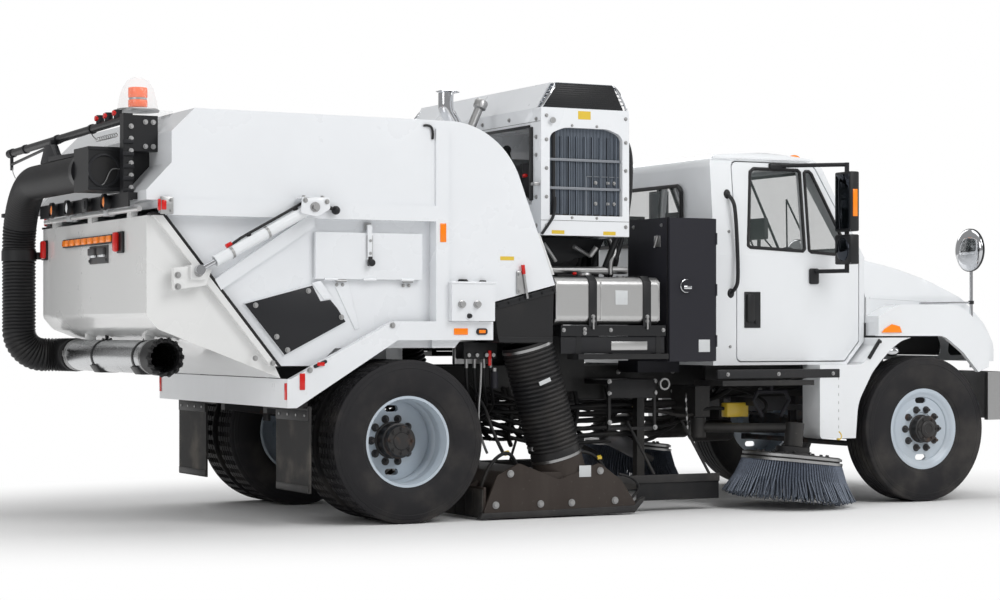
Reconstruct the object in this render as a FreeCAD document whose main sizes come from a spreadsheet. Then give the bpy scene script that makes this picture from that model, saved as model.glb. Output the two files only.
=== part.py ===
"""Street sweeper truck: a two-axle chassis with an air hopper, a pick-up head and two gutter brooms.

Frame: +X forward, +Y left, +Z up, millimetres, origin on the ground below the middle of the truck.
Every size in the sheet is one driving dimension, and each sub-part is bound to it by expressions.
"""
import FreeCAD, Part
import math
import os

import Sketcher
from FreeCAD import Placement, Rotation, Vector

DOC = FreeCAD.newDocument("StreetSweeper")
NODES = []

# alias, value (mm or degrees), what it is
SIZES = (
    ("rear_axle", -1490, "rear axle along the truck"),
    ("front_axle", 2630, "front axle along the truck"),
    ("tyre_radius", 523, "tyre radius, and the axles' height"),
    ("tyre_half", 138, "half the tyre's width"),
    ("rim_radius", 292, "radius of the rim's bead seat"),
    ("dual_outer", 1074, "middle of the outer rear tyre from the centre line"),
    ("dual_inner", 740, "middle of the inner rear tyre from the centre line"),
    ("front_track", 1040, "middle of the front tyre from the centre line"),
    ("kingpin", 860, "kingpin from the centre line"),
    ("rail_out", 430, "outside of a frame rail"),
    ("rail_low", 750, "underside of the frame rails"),
    ("rail_top", 990, "top of the frame rails"),
    ("rail_rear", -2300, "rear end of the frame rails"),
    ("rail_front", 3150, "front end of the frame rails"),
    ("plate", 8, "thickness of the frame's steel"),
    ("nose", 3505, "front of the bumper"),
    ("bumper_low", 580, "underside of the front bumper"),
    ("bumper_top", 930, "top of the front bumper"),
    ("body_half", 1200, "half width over the body's rails"),
    ("cab_rear", 920, "back wall of the cab"),
    ("cab_front", 2200, "firewall of the cab"),
    ("cab_floor", 990, "underside of the cab"),
    ("cab_roof", 2497, "highest line of the roof"),
    ("cab_half", 1012, "half width of the cab"),
    ("belt", 1755, "cowl height"),
    ("door_rear", 1110, "rear edge of a cab door"),
    ("wall", 48, "thickness of cab walls and doors"),
    ("gap", 8, "gap round doors and lids"),
    ("fender_half", 1172, "half width over the front fenders"),
    ("hood_low", 1193, "lower edge of the hood"),
    ("hood_hinge_x", 3330, "hood hinge along the truck"),
    ("hood_hinge_z", 985, "hood hinge height"),
    ("hopper_half", 1185, "half width of the upper hopper"),
    ("lower_half", 1100, "half width of the recessed lower hopper"),
    ("hopper_top", 2585, "top of the hopper"),
    ("hopper_low", 1010, "underside of the hopper"),
    ("hopper_tail", -3230, "rear of the flange over the rear door"),
    ("tail_wall", -3070, "rear wall of the upper hopper"),
    ("hopper_nose", -424, "front tip of the hopper's lower edge"),
    ("hopper_wall", 45, "thickness of the hopper's walls"),
    ("belt_rail", 1930, "underside of the hopper's belt rail"),
    ("post_rear", -1300, "rear face of the hopper's post"),
    ("seam_top_x", -3100, "upper end of the rear door's seam, along"),
    ("seam_top_z", 1935, "upper end of the rear door's seam, height"),
    ("seam_low_x", -2351, "lower end of the rear door's seam, along"),
    ("hinge_x", -3210, "rear door hinge along the truck"),
    ("hinge_z", 1975, "rear door hinge height"),
    ("lift_y", 1242, "lift cylinders from the centre line"),
    ("lift_top_x", -2180, "upper pin of a lift cylinder, along"),
    ("lift_top_z", 1995, "upper pin of a lift cylinder, height"),
    ("lift_rod_x", -2910, "rod pin of a lift cylinder, along"),
    ("lift_rod_z", 1600, "rod pin of a lift cylinder, height"),
    ("rail_z", 1170, "underside of the fender rail"),
    ("rail_deep", 120, "depth of the fender rail"),
    ("engine_rear", -455, "rear face of the engine housing"),
    ("engine_front", 222, "front face of the engine housing"),
    ("engine_low", 1865, "underside of the engine housing"),
    ("engine_top", 2715, "top of the engine housing"),
    ("engine_half", 1050, "half width of the engine housing"),
    ("hood_top", 2890, "top of the air intake"),
    ("broom_x", 1495, "gutter broom centre along the truck"),
    ("broom_y", 1130, "gutter broom centre from the centre line"),
    ("broom_z", 330, "height of the broom's disc"),
    ("broom_radius", 470, "radius of the broom's tips"),
    ("arm_x", 1000, "broom arm's swivel along the truck"),
    ("arm_y", 690, "broom arm's swivel from the centre line"),
    ("broom_tilt", 6, "forward tilt of the brooms, degrees"),
    ("head_half", 1190, "half length of the pick-up head"),
    ("hose_radius", 175, "radius of the air hoses"),
    ("hose_y", 1015, "air hoses from the centre line"),
    ("tail_hose_x", -3365, "rear hose along the truck"),
    ("tail_hose_y", 1120, "drop of the rear hose from the centre line"),
    ("tail_hose_z", 2225, "upper run of the rear hose"),
    ("tail_hose_radius", 115, "radius of the rear hose"),
    ("nozzle_x", -3020, "aluminium nozzle tube along the truck"),
    ("nozzle_z", 1065, "aluminium nozzle tube height"),
)


class Size:
    """A number together with the expression that gives it from the sheet."""

    def __init__(self, value, text):
        self.value = float(value)
        self.text = text

    def _join(self, other, sign, number):
        text = other.text if isinstance(other, Size) else repr(other)
        return Size(number, "(%s %s %s)" % (self.text, sign, text))

    def __add__(self, other):
        return self._join(other, "+", self.value + float(other))

    def __sub__(self, other):
        return self._join(other, "-", self.value - float(other))

    def __mul__(self, other):
        return self._join(other, "*", self.value * float(other))

    def __truediv__(self, other):
        return self._join(other, "/", self.value / float(other))

    def __radd__(self, other):
        return Size(float(other), repr(other)) + self

    def __rsub__(self, other):
        return Size(float(other), repr(other)) - self

    def __rmul__(self, other):
        return self * other

    def __neg__(self):
        return Size(-self.value, "(-1 * %s)" % self.text)

    def __float__(self):
        return self.value


class Sheet:
    """The document's spreadsheet; each alias reads back as a Size."""

    def __init__(self, rows):
        cells = DOC.addObject("Spreadsheet::Sheet", "Sizes")
        for index, (alias, value, meaning) in enumerate(rows, start=1):
            cells.set("A%d" % index, meaning)
            cells.set("B%d" % index, str(value))
            cells.setAlias("B%d" % index, alias)
            setattr(self, alias, Size(value, "Sizes." + alias))
        DOC.recompute()


S = Sheet(SIZES)


def bind(thing, path, size):
    """Set a property, and bind it to the sheet when the size comes from there."""
    if isinstance(size, Size):
        thing.setExpression(path, size.text)


def vector(along, across, up):
    """Return a vector from sizes or numbers."""
    return Vector(float(along), float(across), float(up))


def turn_left(before, corner, after):
    """Tell whether the outline turns left at a corner."""
    one = (corner[0] - before[0], corner[1] - before[1])
    two = (after[0] - corner[0], after[1] - corner[1])
    return one[0] * two[1] - one[1] * two[0] > 0


def corner_points(before, corner, after, radius):
    """Return where a rounded corner leaves its two sides, and its centre."""
    here = Vector(corner[0], corner[1], 0)
    back = (Vector(before[0], before[1], 0) - here).normalize()
    ahead = (Vector(after[0], after[1], 0) - here).normalize()
    half = back.getAngle(ahead) / 2
    reach = radius / math.tan(half)
    centre = here + (back + ahead).normalize() * (radius / math.sin(half))
    return here + back * reach, here + ahead * reach, centre


class Outline:
    """A closed sketch outline whose corners, and their radii, are bound to the sheet."""

    def __init__(self, sketch, corners):
        self.sketch = sketch
        self.corners = corners
        self.flat = [(float(c[0]), float(c[1])) for c in corners]
        self.radii = [float(c[2]) if len(c) > 2 else 0.0 for c in corners]
        self.draw()

    def draw(self):
        """Add the sides, the arcs at rounded corners and their constraints."""
        count = len(self.corners)
        ends = []
        for i in range(count):
            before, after = self.flat[i - 1], self.flat[(i + 1) % count]
            if self.radii[i]:
                ends.append(corner_points(before, self.flat[i], after, self.radii[i]))
            else:
                here = Vector(self.flat[i][0], self.flat[i][1], 0)
                ends.append((here, here, None))
        sides = [
            self.sketch.addGeometry(Part.LineSegment(ends[i][1], ends[(i + 1) % count][0]), False)
            for i in range(count)
        ]
        for i in range(count):
            if self.radii[i]:
                self.round_corner(i, ends[i], sides)
            else:
                self.sketch.addConstraint(
                    Sketcher.Constraint("Coincident", sides[i - 1], 2, sides[i], 1))
                self.pin(sides[i], self.corners[i])

    def round_corner(self, i, ends, sides):
        """Join two sides with a tangent arc about a pinned construction point."""
        start, end, centre = ends
        count = len(self.flat)
        left = turn_left(self.flat[i - 1], self.flat[i], self.flat[(i + 1) % count])
        first, last = (start, end) if left else (end, start)
        angles = [math.atan2(p.y - centre.y, p.x - centre.x) for p in (first, last)]
        circle = Part.Circle(centre, Vector(0, 0, 1), self.radii[i])
        if angles[1] < angles[0]:
            angles[1] += 2 * math.pi
        arc = self.sketch.addGeometry(Part.ArcOfCircle(circle, angles[0], angles[1]), False)
        near, far = (1, 2) if left else (2, 1)
        here = Vector(self.flat[i][0], self.flat[i][1], 0)
        point = self.sketch.addGeometry(Part.Point(here), True)
        add = self.sketch.addConstraint
        add(Sketcher.Constraint("Tangent", sides[i - 1], 2, arc, near))
        add(Sketcher.Constraint("Tangent", arc, far, sides[i], 1))
        add(Sketcher.Constraint("PointOnObject", point, 1, sides[i - 1]))
        add(Sketcher.Constraint("PointOnObject", point, 1, sides[i]))
        index = add(Sketcher.Constraint("Radius", arc, self.radii[i]))
        bind(self.sketch, "Constraints[%d]" % index, self.corners[i][2])
        self.pin(point, self.corners[i])

    def pin(self, geometry, corner):
        """Hold a corner at its two distances from the sketch's origin."""
        for kind, size in zip(("DistanceX", "DistanceY"), corner):
            index = self.sketch.addConstraint(
                Sketcher.Constraint(kind, -1, 1, geometry, 1, float(size)))
            bind(self.sketch, "Constraints[%d]" % index, size)


class Piece:
    """A PartDesign body made of bound sketches, pads, pockets, turns and mirrors."""

    def __init__(self, label):
        self.body = DOC.addObject("PartDesign::Body", label)
        self.body.Label = label
        self.body.AllowCompound = True
        self.planes = {f.Role: f for f in self.body.Origin.OriginFeatures}
        self.features = []

    def sketch(self, plane, corners, offset=0):
        """Draw a closed outline on one of the body's planes, moved along its normal."""
        sketch = self.body.newObject("Sketcher::SketchObject", self.body.Name + "Sketch")
        sketch.AttachmentSupport = (self.planes[plane + "_Plane"], [""])
        sketch.MapMode = "FlatFace"
        sketch.AttachmentOffset = Placement(Vector(0, 0, float(offset)), Rotation())
        bind(sketch, "AttachmentOffset.Base.z", offset)
        Outline(sketch, corners)
        return sketch

    def extrude(self, kind, plane, corners, low, high):
        """Pad or pocket an outline between two places along the plane's axis."""
        offset = low if plane != "XZ" else -high if isinstance(high, Size) else -float(high)
        sketch = self.sketch(plane, corners, offset)
        feature = self.body.newObject("PartDesign::" + kind, self.body.Name + kind)
        feature.Profile = sketch
        feature.Length = float(high) - float(low)
        length = high - low if isinstance(high, Size) else -(low - high) if isinstance(low, Size) else 0
        bind(feature, "Length", length)
        feature.Reversed = kind == "Pocket"
        self.features.append(feature)
        return self

    def pad(self, plane, corners, low, high):
        """Add an extruded outline."""
        return self.extrude("Pad", plane, corners, low, high)

    def pocket(self, plane, corners, low, high):
        """Cut an extruded outline."""
        return self.extrude("Pocket", plane, corners, low, high)

    def turn(self, plane, corners, axis):
        """Revolve an outline about the sketch's own axis, H_Axis or V_Axis."""
        sketch = self.sketch(plane, corners)
        feature = self.body.newObject("PartDesign::Revolution", self.body.Name + "Turn")
        feature.Profile = sketch
        feature.ReferenceAxis = (sketch, [axis])
        feature.Angle = 360
        self.features.append(feature)
        return self

    def mirror(self, plane="XZ"):
        """Repeat every feature so far on the other side of a plane."""
        feature = self.body.newObject("PartDesign::Mirrored", self.body.Name + "Mirror")
        feature.Originals = list(self.features)
        feature.MirrorPlane = (self.planes[plane + "_Plane"], [""])
        self.body.Tip = feature
        return self

    def place(self, along=0, across=0, up=0):
        """Move the whole body."""
        self.body.Placement = Placement(vector(along, across, up), Rotation())
        for path, size in (("x", along), ("y", across), ("z", up)):
            bind(self.body, "Placement.Base." + path, size)
        return self


def node(thing, label=None):
    """Register a document object as a sub-part and return it."""
    thing = thing.body if isinstance(thing, Piece) else thing
    if label:
        thing.Label = label
    NODES.append(thing)
    return thing


def block(along, across, up, label="Block"):
    """Return a box from three (low, high) pairs."""
    box = DOC.addObject("Part::Box", label)
    box.Placement = Placement(vector(along[0], across[0], up[0]), Rotation())
    for name, path, pair in (("Length", "x", along), ("Width", "y", across), ("Height", "z", up)):
        low, high = pair
        setattr(box, name, float(high) - float(low))
        if isinstance(low, Size):
            bind(box, "Placement.Base." + path, low)
            bind(box, name, -(low - high))
        elif isinstance(high, Size):
            bind(box, name, high - low)
    return box


def bar(start, end, radius, label="Bar"):
    """Return a round bar between two points."""
    axis = end - start
    bar_object = DOC.addObject("Part::Cylinder", label)
    bar_object.Radius = float(radius)
    bind(bar_object, "Radius", radius)
    bar_object.Height = axis.Length
    bar_object.Placement = Placement(start, Rotation(Vector(0, 0, 1), axis))
    return bar_object


def group(kind, label, things):
    """Combine objects as one fused shape (MultiFuse) or as separate solids (Compound)."""
    things = [t.body if isinstance(t, Piece) else t for t in things]
    joined = DOC.addObject("Part::" + kind, label)
    if kind == "Compound":
        joined.Links = things
    else:
        joined.Shapes = things
    joined.Label = label
    return joined


def fuse(label, *things):
    """Fuse objects into one shape."""
    return group("MultiFuse", label, things)


def common(label, *things):
    """Keep what all the objects share."""
    return group("MultiCommon", label, things)


def together(label, *things):
    """Keep objects as separate solids of one sub-part."""
    return group("Compound", label, things)


def cut(label, base, *tools):
    """Cut tools from a base."""
    for index, tool in enumerate(tools):
        feature = DOC.addObject("Part::Cut", "%sCut%d" % (label, index))
        feature.Base = base.body if isinstance(base, Piece) else base
        feature.Tool = tool.body if isinstance(tool, Piece) else tool
        base = feature
    base.Label = label
    return base


def mirrored(label, source):
    """Mirror an object to the truck's other side."""
    feature = DOC.addObject("Part::Mirroring", label)
    feature.Source = source.body if isinstance(source, Piece) else source
    feature.Normal = (0, 1, 0)
    feature.Label = label
    return feature


def both_sides(label, source):
    """Keep an object and its mirror image as one sub-part."""
    return together(label, source, mirrored(label + "Twin", source))


# ---------------------------------------------------------------- chassis

def frame_rails():
    """Two C-section rails with their open sides inward."""
    inner = S.rail_out - 80
    section = [
        (inner, S.rail_low), (S.rail_out, S.rail_low), (S.rail_out, S.rail_top), (inner, S.rail_top),
        (inner, S.rail_top - S.plate), (S.rail_out - S.plate, S.rail_top - S.plate),
        (S.rail_out - S.plate, S.rail_low + S.plate), (inner, S.rail_low + S.plate),
    ]
    node(Piece("frame_rails").pad("YZ", section, S.rail_rear, S.rail_front).mirror())


def frame_crossmembers():
    """Box crossmembers between the rails' webs, clear of their flanges."""
    reach = S.rail_out - S.plate
    places = (S.rail_rear + 60, S.rear_axle - 420, S.rear_axle + 420, S.front_axle - 2900,
              S.front_axle - 2500, S.front_axle + 420)
    bars = [
        block((x, x + 90), (-reach, reach), (S.rail_low + 30, S.rail_top - 30)) for x in places
    ]
    node(together("frame_crossmembers", *bars))


def leaf_springs():
    """Arched leaf packs on brackets below the rails."""
    packs = []
    for axle, reach, name in ((S.front_axle, 620, "Front"), (S.rear_axle, 660, "Rear")):
        low = S.rail_low - 150
        arch = [
            (axle - reach, S.rail_low), (axle - reach, S.rail_low - 60), (axle - reach + 40, S.rail_low - 60),
            (axle, low, 900), (axle + reach - 40, S.rail_low - 60),
            (axle + reach, S.rail_low - 60), (axle + reach, S.rail_low),
            (axle + reach - 60, S.rail_low), (axle, low + 70, 900), (axle - reach + 60, S.rail_low),
        ]
        packs.append(both_sides(name + "Springs", Piece(name + "Spring").pad(
            "XZ", arch, S.rail_out - 75, S.rail_out - 5)))
    node(together("leaf_springs", *packs))


def front_axle():
    """Drop-centre beam with an eye for each kingpin, and its spring seats."""
    z, tip = S.tyre_radius, S.kingpin - 20
    beam = [
        (-tip, z + 55), (-tip, z - 55), (-tip + 110, z - 60, 60), (-S.rail_out, z - 110, 80),
        (S.rail_out, z - 110, 80), (tip - 110, z - 60, 60), (tip, z - 55), (tip, z + 55),
        (tip - 110, z + 55, 60), (S.rail_out, z + 10, 80), (-S.rail_out, z + 10, 80),
        (-tip + 110, z + 55, 60),
    ]
    body = Piece("AxleBeam").pad("YZ", beam, S.front_axle - 45, S.front_axle + 45)
    seats = [block((S.front_axle - 70, S.front_axle + 70), (y - 35, y + 35), (z + 10, z + 87))
             for y in (S.rail_out - 40, -(S.rail_out - 40))]
    eyes = [bar(vector(S.front_axle, y, z - 55), vector(S.front_axle, y, z + 55), 38)
            for y in (S.kingpin, -S.kingpin)]
    node(fuse("front_axle", body, *(seats + eyes)))


def knuckle():
    """Kingpin yoke, spindle and steering arm, one each side."""
    z = S.tyre_radius
    web, pin = -S.kingpin - 75, -S.kingpin + 35
    yoke = [
        (web, z - 100), (pin, z - 100), (pin, z - 62), (web + 25, z - 62),
        (web + 25, z + 62), (pin, z + 62), (pin, z + 100), (web, z + 100),
    ]
    yoke_body = Piece("KnuckleYoke").pad("YZ", yoke, S.front_axle - 42, S.front_axle + 42)
    spindle = bar(vector(S.front_axle, -S.kingpin - 60, z), vector(S.front_axle, -S.front_track - 40, z), 38)
    arm = block((S.front_axle - 220, S.front_axle - 30), (-S.kingpin - 24, -S.kingpin + 16),
                (z - 100, z - 66))
    right = node(fuse("knuckle_right", yoke_body, spindle, arm))
    node(mirrored("knuckle_left", right))


def tie_rod():
    """Track rod below the steering arms' ends."""
    z = S.tyre_radius - 128
    x = S.front_axle - 200
    reach = S.kingpin - 10
    rod = bar(vector(x, -reach, z), vector(x, reach, z), 20)
    eyes = [block((x - 28, x + 28), (y - 28, y + 28), (z - 22, z + 22)) for y in (reach, -reach)]
    node(fuse("tie_rod", rod, *eyes))


def shaft_ends():
    """Return the propeller shaft's ends, at the gearbox and at the rear axle."""
    return vector(955, 0, 820), vector(S.rear_axle + 332, 0, S.tyre_radius + 22)


def rear_axle():
    """Banjo housing with its tubes and spring seats."""
    z = S.tyre_radius
    tube = bar(vector(S.rear_axle, -560, z), vector(S.rear_axle, 560, z), 68)
    banjo = Piece("Banjo").turn("YZ", [
        (-150, 0), (-120, 150), (-60, 205), (60, 205), (120, 150), (150, 0)], "H_Axis")
    banjo.place(S.rear_axle, 0, S.tyre_radius)
    start, end = shaft_ends()
    nose = bar(end, end + (end - start).normalize() * 210, 80)
    seats = [block((S.rear_axle - 75, S.rear_axle + 75), (y - 35, y + 35), (z + 40, z + 86))
             for y in (S.rail_out - 40, -(S.rail_out - 40))]
    node(fuse("rear_axle", tube, banjo, nose, *seats))


def drivetrain():
    """Engine and gearbox as one plain casting, with the propeller shaft to the rear axle."""
    side = [
        (960, 760), (1500, 740), (1640, 640), (2250, 640), (2250, 690), (2930, 690, 40),
        (2930, 1260, 60), (2300, 1340, 60), (2240, 985), (1640, 985), (1500, 930), (960, 900),
    ]
    casting = Piece("Casting").pad("XZ", side, -270, 270)
    start, end = shaft_ends()
    step = (end - start) * 0.06
    flanges = [bar(start, start + step, 75), bar(end - step, end, 75)]
    mounts = [block((2500, 2600), (min(y, y * 0.64), max(y, y * 0.64)), (S.rail_low + 20, S.rail_low + 120))
              for y in (422, -422)]
    node(fuse("drivetrain", casting, bar(start, end, 48), *(flanges + mounts)))


def front_bumper():
    """Swept bumper with wrapped ends, carried by two horns."""
    half = S.body_half
    plan = [
        (S.nose - 330, half), (S.nose - 330, half - 40), (S.nose - 150, half - 70, 60),
        (S.nose - 45, 560, 400), (S.nose - 45, -560, 400), (S.nose - 150, -half + 70, 60),
        (S.nose - 330, -half + 40), (S.nose - 330, -half), (S.nose - 110, -half + 20, 120),
        (S.nose, -560, 400), (S.nose, 560, 400), (S.nose - 110, half - 20, 120),
    ]
    skin = Piece("BumperSkin").pad("XY", plan, S.bumper_low, S.bumper_top)
    horns = [block((S.rail_front, S.nose - 40), (y - 38, y + 38), (S.rail_low + 10, S.rail_top - 90))
             for y in (S.rail_out - 40, -(S.rail_out - 40))]
    node(fuse("front_bumper", skin, *horns))


def rear_bumper():
    """Beam across the tail, bolted to the rails' ends."""
    beam = [(S.rail_rear - 24, S.rail_low), (S.rail_rear, S.rail_low),
            (S.rail_rear, S.rail_low + 180), (S.rail_rear - 24, S.rail_low + 180)]
    node(Piece("rear_bumper").pad("XZ", beam, -S.body_half, S.body_half))


def fender_rails():
    """White rails over the rear wheels, level at the front and sloping to the tail."""
    top = S.rail_z + S.rail_deep
    rail = [
        (-890, S.rail_z), (-890, top), (-1600, top), (S.rail_rear, S.rail_low + 180),
        (S.rail_rear, S.rail_low), (S.rail_rear + 40, S.rail_low), (-1570, S.rail_z),
    ]
    node(both_sides("fender_rails", Piece("FenderRail").pad(
        "XZ", rail, S.body_half - 60, S.body_half)))


def mud_flaps():
    """Rubber flaps hung behind the rear tyres from bars on the rails."""
    x = S.rear_axle - 680
    flap = block((x - 8, x + 6), (650, S.body_half), (215, S.rail_low))
    hanger = block((x - 30, x + 6), (S.rail_out, S.body_half - 62), (S.rail_low, S.rail_low + 50))
    node(both_sides("mud_flaps", fuse("MudFlap", flap, hanger)))


def side_tanks():
    """Rounded aluminium tanks on both sides, with their shelf brackets."""
    section = [(700, 1270, 60), (1150, 1270, 60), (1150, 1590, 60), (700, 1590, 60)]
    node(both_sides("side_tanks", Piece("Tank").pad("YZ", section, -400, 400)))


def tool_cabinet():
    """Hollow cabinet behind the cab, open on the side that its door closes."""
    case = block((480, 860), (-1120, -600), (1020, 2000))
    room = block((510, 830), (-1130, -630), (1050, 1970))
    foot = block((500, 840), (-700, -S.rail_out), (940, 1020))
    node(cut("tool_cabinet", fuse("CabinetCase", case, foot), room))
    door = block((483, 857), (-1148, -1126), (1023, 1997))
    knob = bar(vector(612, -1148, 1535), vector(612, -1172, 1535), 42)
    barrels = [bar(vector(857, -1148, z), vector(857, -1148, z + 80), 8) for z in (1120, 1470, 1820)]
    node(fuse("cabinet_door", door, knob, *barrels))


# ---------------------------------------------------------------- wheels

TYRE_SIDES = 56


def on_ring(across, radius, step):
    """Return a corner of a ring about the axle; step 0 is at the bottom."""
    angle = math.radians(360.0 * (step % TYRE_SIDES) / TYRE_SIDES - 90)
    return vector(radius * math.cos(angle), across, radius * math.sin(angle))


def tyre(label, section, along, across):
    """Return a tyre turned in straight facets from its closed section, moved to its axle."""
    faces = []
    for (y0, r0), (y1, r1) in zip(section, section[1:] + section[:1]):
        for step in range(TYRE_SIDES):
            corners = [on_ring(y0, r0, step), on_ring(y0, r0, step + 1),
                       on_ring(y1, r1, step + 1), on_ring(y1, r1, step)]
            faces.append(Part.Face(Part.makePolygon(corners + corners[:1])))
    solid = Part.Solid(Part.Shell(faces))
    if solid.Volume < 0:
        solid.reverse()
    feature = DOC.addObject("Part::Feature", label + "Facets")
    feature.Shape = solid
    return held(feature, along, across, label)


def tyre_section(half):
    """Return a tyre's closed section as (across, radius): bead, bulging wall, shoulder, tread."""
    bead, bulge, tread = S.rim_radius, S.tyre_radius - 110, S.tyre_radius
    return [(-half + 32, bead), (-half, bulge), (-half + 16, tread),
            (half - 16, tread), (half, bulge), (half - 32, bead)]


def rim_profile(half, face, deep):
    """Return a rim's section: the seat, the dish face and the hub, for one open side.

    face is where the disc lies along the axle and deep is where the hub's cap ends."""
    seat = S.rim_radius - 1
    return [
        (-half + 34, seat), (-half + 34, seat - 14), (face - 14, seat - 14),
        (face - 14, 120), (face - 100, 120), (face - 100, 70), (deep, 70), (deep, 84),
        (face, 92), (face, seat - 34), (half - 34, seat - 16), (half - 34, seat),
    ]


def front_wheels():
    """Front tyres and convex rims, turning about the axle."""
    right = node(tyre("front_tyre_right", tyre_section(S.tyre_half), S.front_axle, -S.front_track))
    node(mirrored("front_tyre_left", right))
    rim = Piece("FrontRim").turn("YZ", rim_profile(S.tyre_half, 70, 150), "H_Axis")
    wheel = cut("FrontWheel", rim, hand_holes(70, 205))
    turned = placed(wheel, S.front_axle, -S.front_track, "front_rim_right")
    node(turned)
    node(mirrored("front_rim_left", turned))


def hand_holes(face, radius):
    """Return the two oval hand holes through a disc as one tool."""
    slots = []
    for z in (radius, -radius):
        ends = [bar(vector(x, face - 60, z), vector(x, face + 60, z), 21) for x in (-26, 26)]
        slots.append(fuse("HandSlot%d" % z, block((-26, 26), (face - 60, face + 60), (z - 21, z + 21)), *ends))
    return together("HandHoles", *slots)


def placed(thing, along, across, label):
    """Return a mirrored copy of a wheel part, its outer face towards -Y, at an axle."""
    return held(mirrored(label + "Turned", thing), along, across, label)


def held(thing, along, across, label):
    """Return a wheel part moved to an axle."""
    holder = DOC.addObject("Part::Compound", label)
    holder.Links = [thing]
    holder.Label = label
    holder.Placement = Placement(vector(along, across, S.tyre_radius), Rotation())
    bind(holder, "Placement.Base.x", along)
    bind(holder, "Placement.Base.y", across)
    bind(holder, "Placement.Base.z", S.tyre_radius)
    return holder


def rear_wheels():
    """Twin rear tyres and their dished rims, one body each side."""
    outer = tyre("OuterTyre", tyre_section(S.tyre_half), S.rear_axle, -S.dual_outer)
    inner = tyre("InnerTyre", tyre_section(S.tyre_half), S.rear_axle, -S.dual_inner)
    tyres = node(together("rear_tyres_right", outer, inner))
    node(mirrored("rear_tyres_left", tyres))
    gap = S.dual_outer - S.dual_inner
    seat = S.rim_radius - 1
    half = S.tyre_half
    rim = Piece("RearRim").turn("YZ", [
        (-half + 34, seat), (-half + 34, seat - 16), (gap / 2 - 20, seat - 16), (gap / 2 - 20, 105),
        (-half + 34, 105), (-half + 34, 74), (gap + 5, 74), (gap + 5, 98),
        (gap / 2 + 20, 106), (gap / 2 + 20, seat - 16), (gap + half - 34, seat - 16),
        (gap + half - 34, seat)], "H_Axis")
    wheel = cut("RearWheel", rim, hand_holes(gap / 2, 205))
    turned = placed(wheel, S.rear_axle, -S.dual_inner, "rear_rims_right")
    node(turned)
    node(mirrored("rear_rims_left", turned))


# ---------------------------------------------------------------- cab

def cab_envelope(label, inset):
    """Return the cab's outer form, shrunk by an inset on every side."""
    low, roof = S.cab_floor + inset, S.cab_roof - inset
    rear, front, half = S.cab_rear + inset, S.cab_front - inset, S.cab_half - inset
    side = [
        (rear, low), (S.cab_front - 150 - inset, low), (front, S.cab_floor + 165 + inset),
        (front + 5, S.belt - inset * 0.5), (S.cab_front - 345 - inset, roof - 48, 110),
        (S.cab_rear + 560, roof, 900), (rear + 20, roof - 40, 90),
    ]
    face = [
        (-half, low), (half, low), (half, S.belt), (half - 85, roof, 150),
        (-half + 85, roof, 150), (-half, S.belt),
    ]
    profile = Piece(label + "Side").pad("XZ", side, -half, half)
    section = Piece(label + "Face").pad("YZ", face, rear - 10, front + 20)
    return common(label, profile, section)


def door_prism(label, gap):
    """Return the block that bounds the right door, shrunk by a gap."""
    outline = [
        (S.door_rear + gap, S.cab_floor + 20 + gap, 40), (2035 - gap, S.cab_floor + 20 + gap),
        (2160 - gap, S.cab_floor + 160 + gap), (2160 - gap, 1790),
        (1812 - gap, 2420 - gap, 70), (S.door_rear + gap, 2420 - gap, 50),
    ]
    return Piece(label).pad("XZ", outline, -S.cab_half - 60, -S.cab_half + 160)


def cab():
    """Hollow cab, its two doors and its fixed glass."""
    hollow = cut("CabHollow", cab_envelope("CabOuter", 0), cab_envelope("CabInner", S.wall))
    pane = cut("CabPane", cab_envelope("PaneOuter", 18), cab_envelope("PaneInner", 26))
    windshield = [(-840, 1815, 60), (840, 1815, 60), (745, 2375, 80), (-745, 2375, 80)]
    glass_line = [(-834, 1821, 60), (834, 1821, 60), (739, 2369, 80), (-739, 2369, 80)]
    rear_line = [(-600, 1850, 60), (600, 1850, 60), (600, 2260, 60), (-600, 2260, 60)]
    rear_glass = [(-594, 1856, 60), (594, 1856, 60), (594, 2254, 60), (-594, 2254, 60)]
    front_cut = Piece("WindshieldCut").pad("YZ", windshield, 1780, S.cab_front + 80)
    rear_cut = Piece("RearWindowCut").pad("YZ", rear_line, S.cab_rear - 20, S.cab_rear + 120)
    door_hole = door_prism("DoorHole", 0)
    node(cut("cab_shell", hollow, front_cut, rear_cut, door_hole, mirrored("DoorHoleLeft", door_hole)))
    front_pane = common("FrontPane", pane, Piece("WindshieldLine").pad("YZ", glass_line, 1780, S.cab_front + 80))
    back_pane = common("BackPane", pane, Piece("RearLine").pad("YZ", rear_glass, S.cab_rear, S.cab_rear + 60))
    node(together("cab_glass", front_pane, back_pane))
    cab_door(hollow, pane)


def splash_panels():
    """Fixed panels behind the front wheels, up under the hood's lower edge."""
    edge = S.front_axle - 610
    top = S.hood_low - 12
    panel = [
        (1712, S.cab_floor), (1712, 470, 30), (edge, 470), (edge + 20, 720, 300), (2165, 935, 300),
        (2240, 1015, 300), (2330, 1100, 300), (2420, 1158, 200), (2507, top), (2206, top),
        (2206, 1125), (2095, 1008), (2060, S.cab_floor),
    ]
    right = Piece("SplashPanel").pad("XZ", panel, -S.fender_half + 10, -S.cab_half + 60)
    node(both_sides("splash_panels", right))


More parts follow.
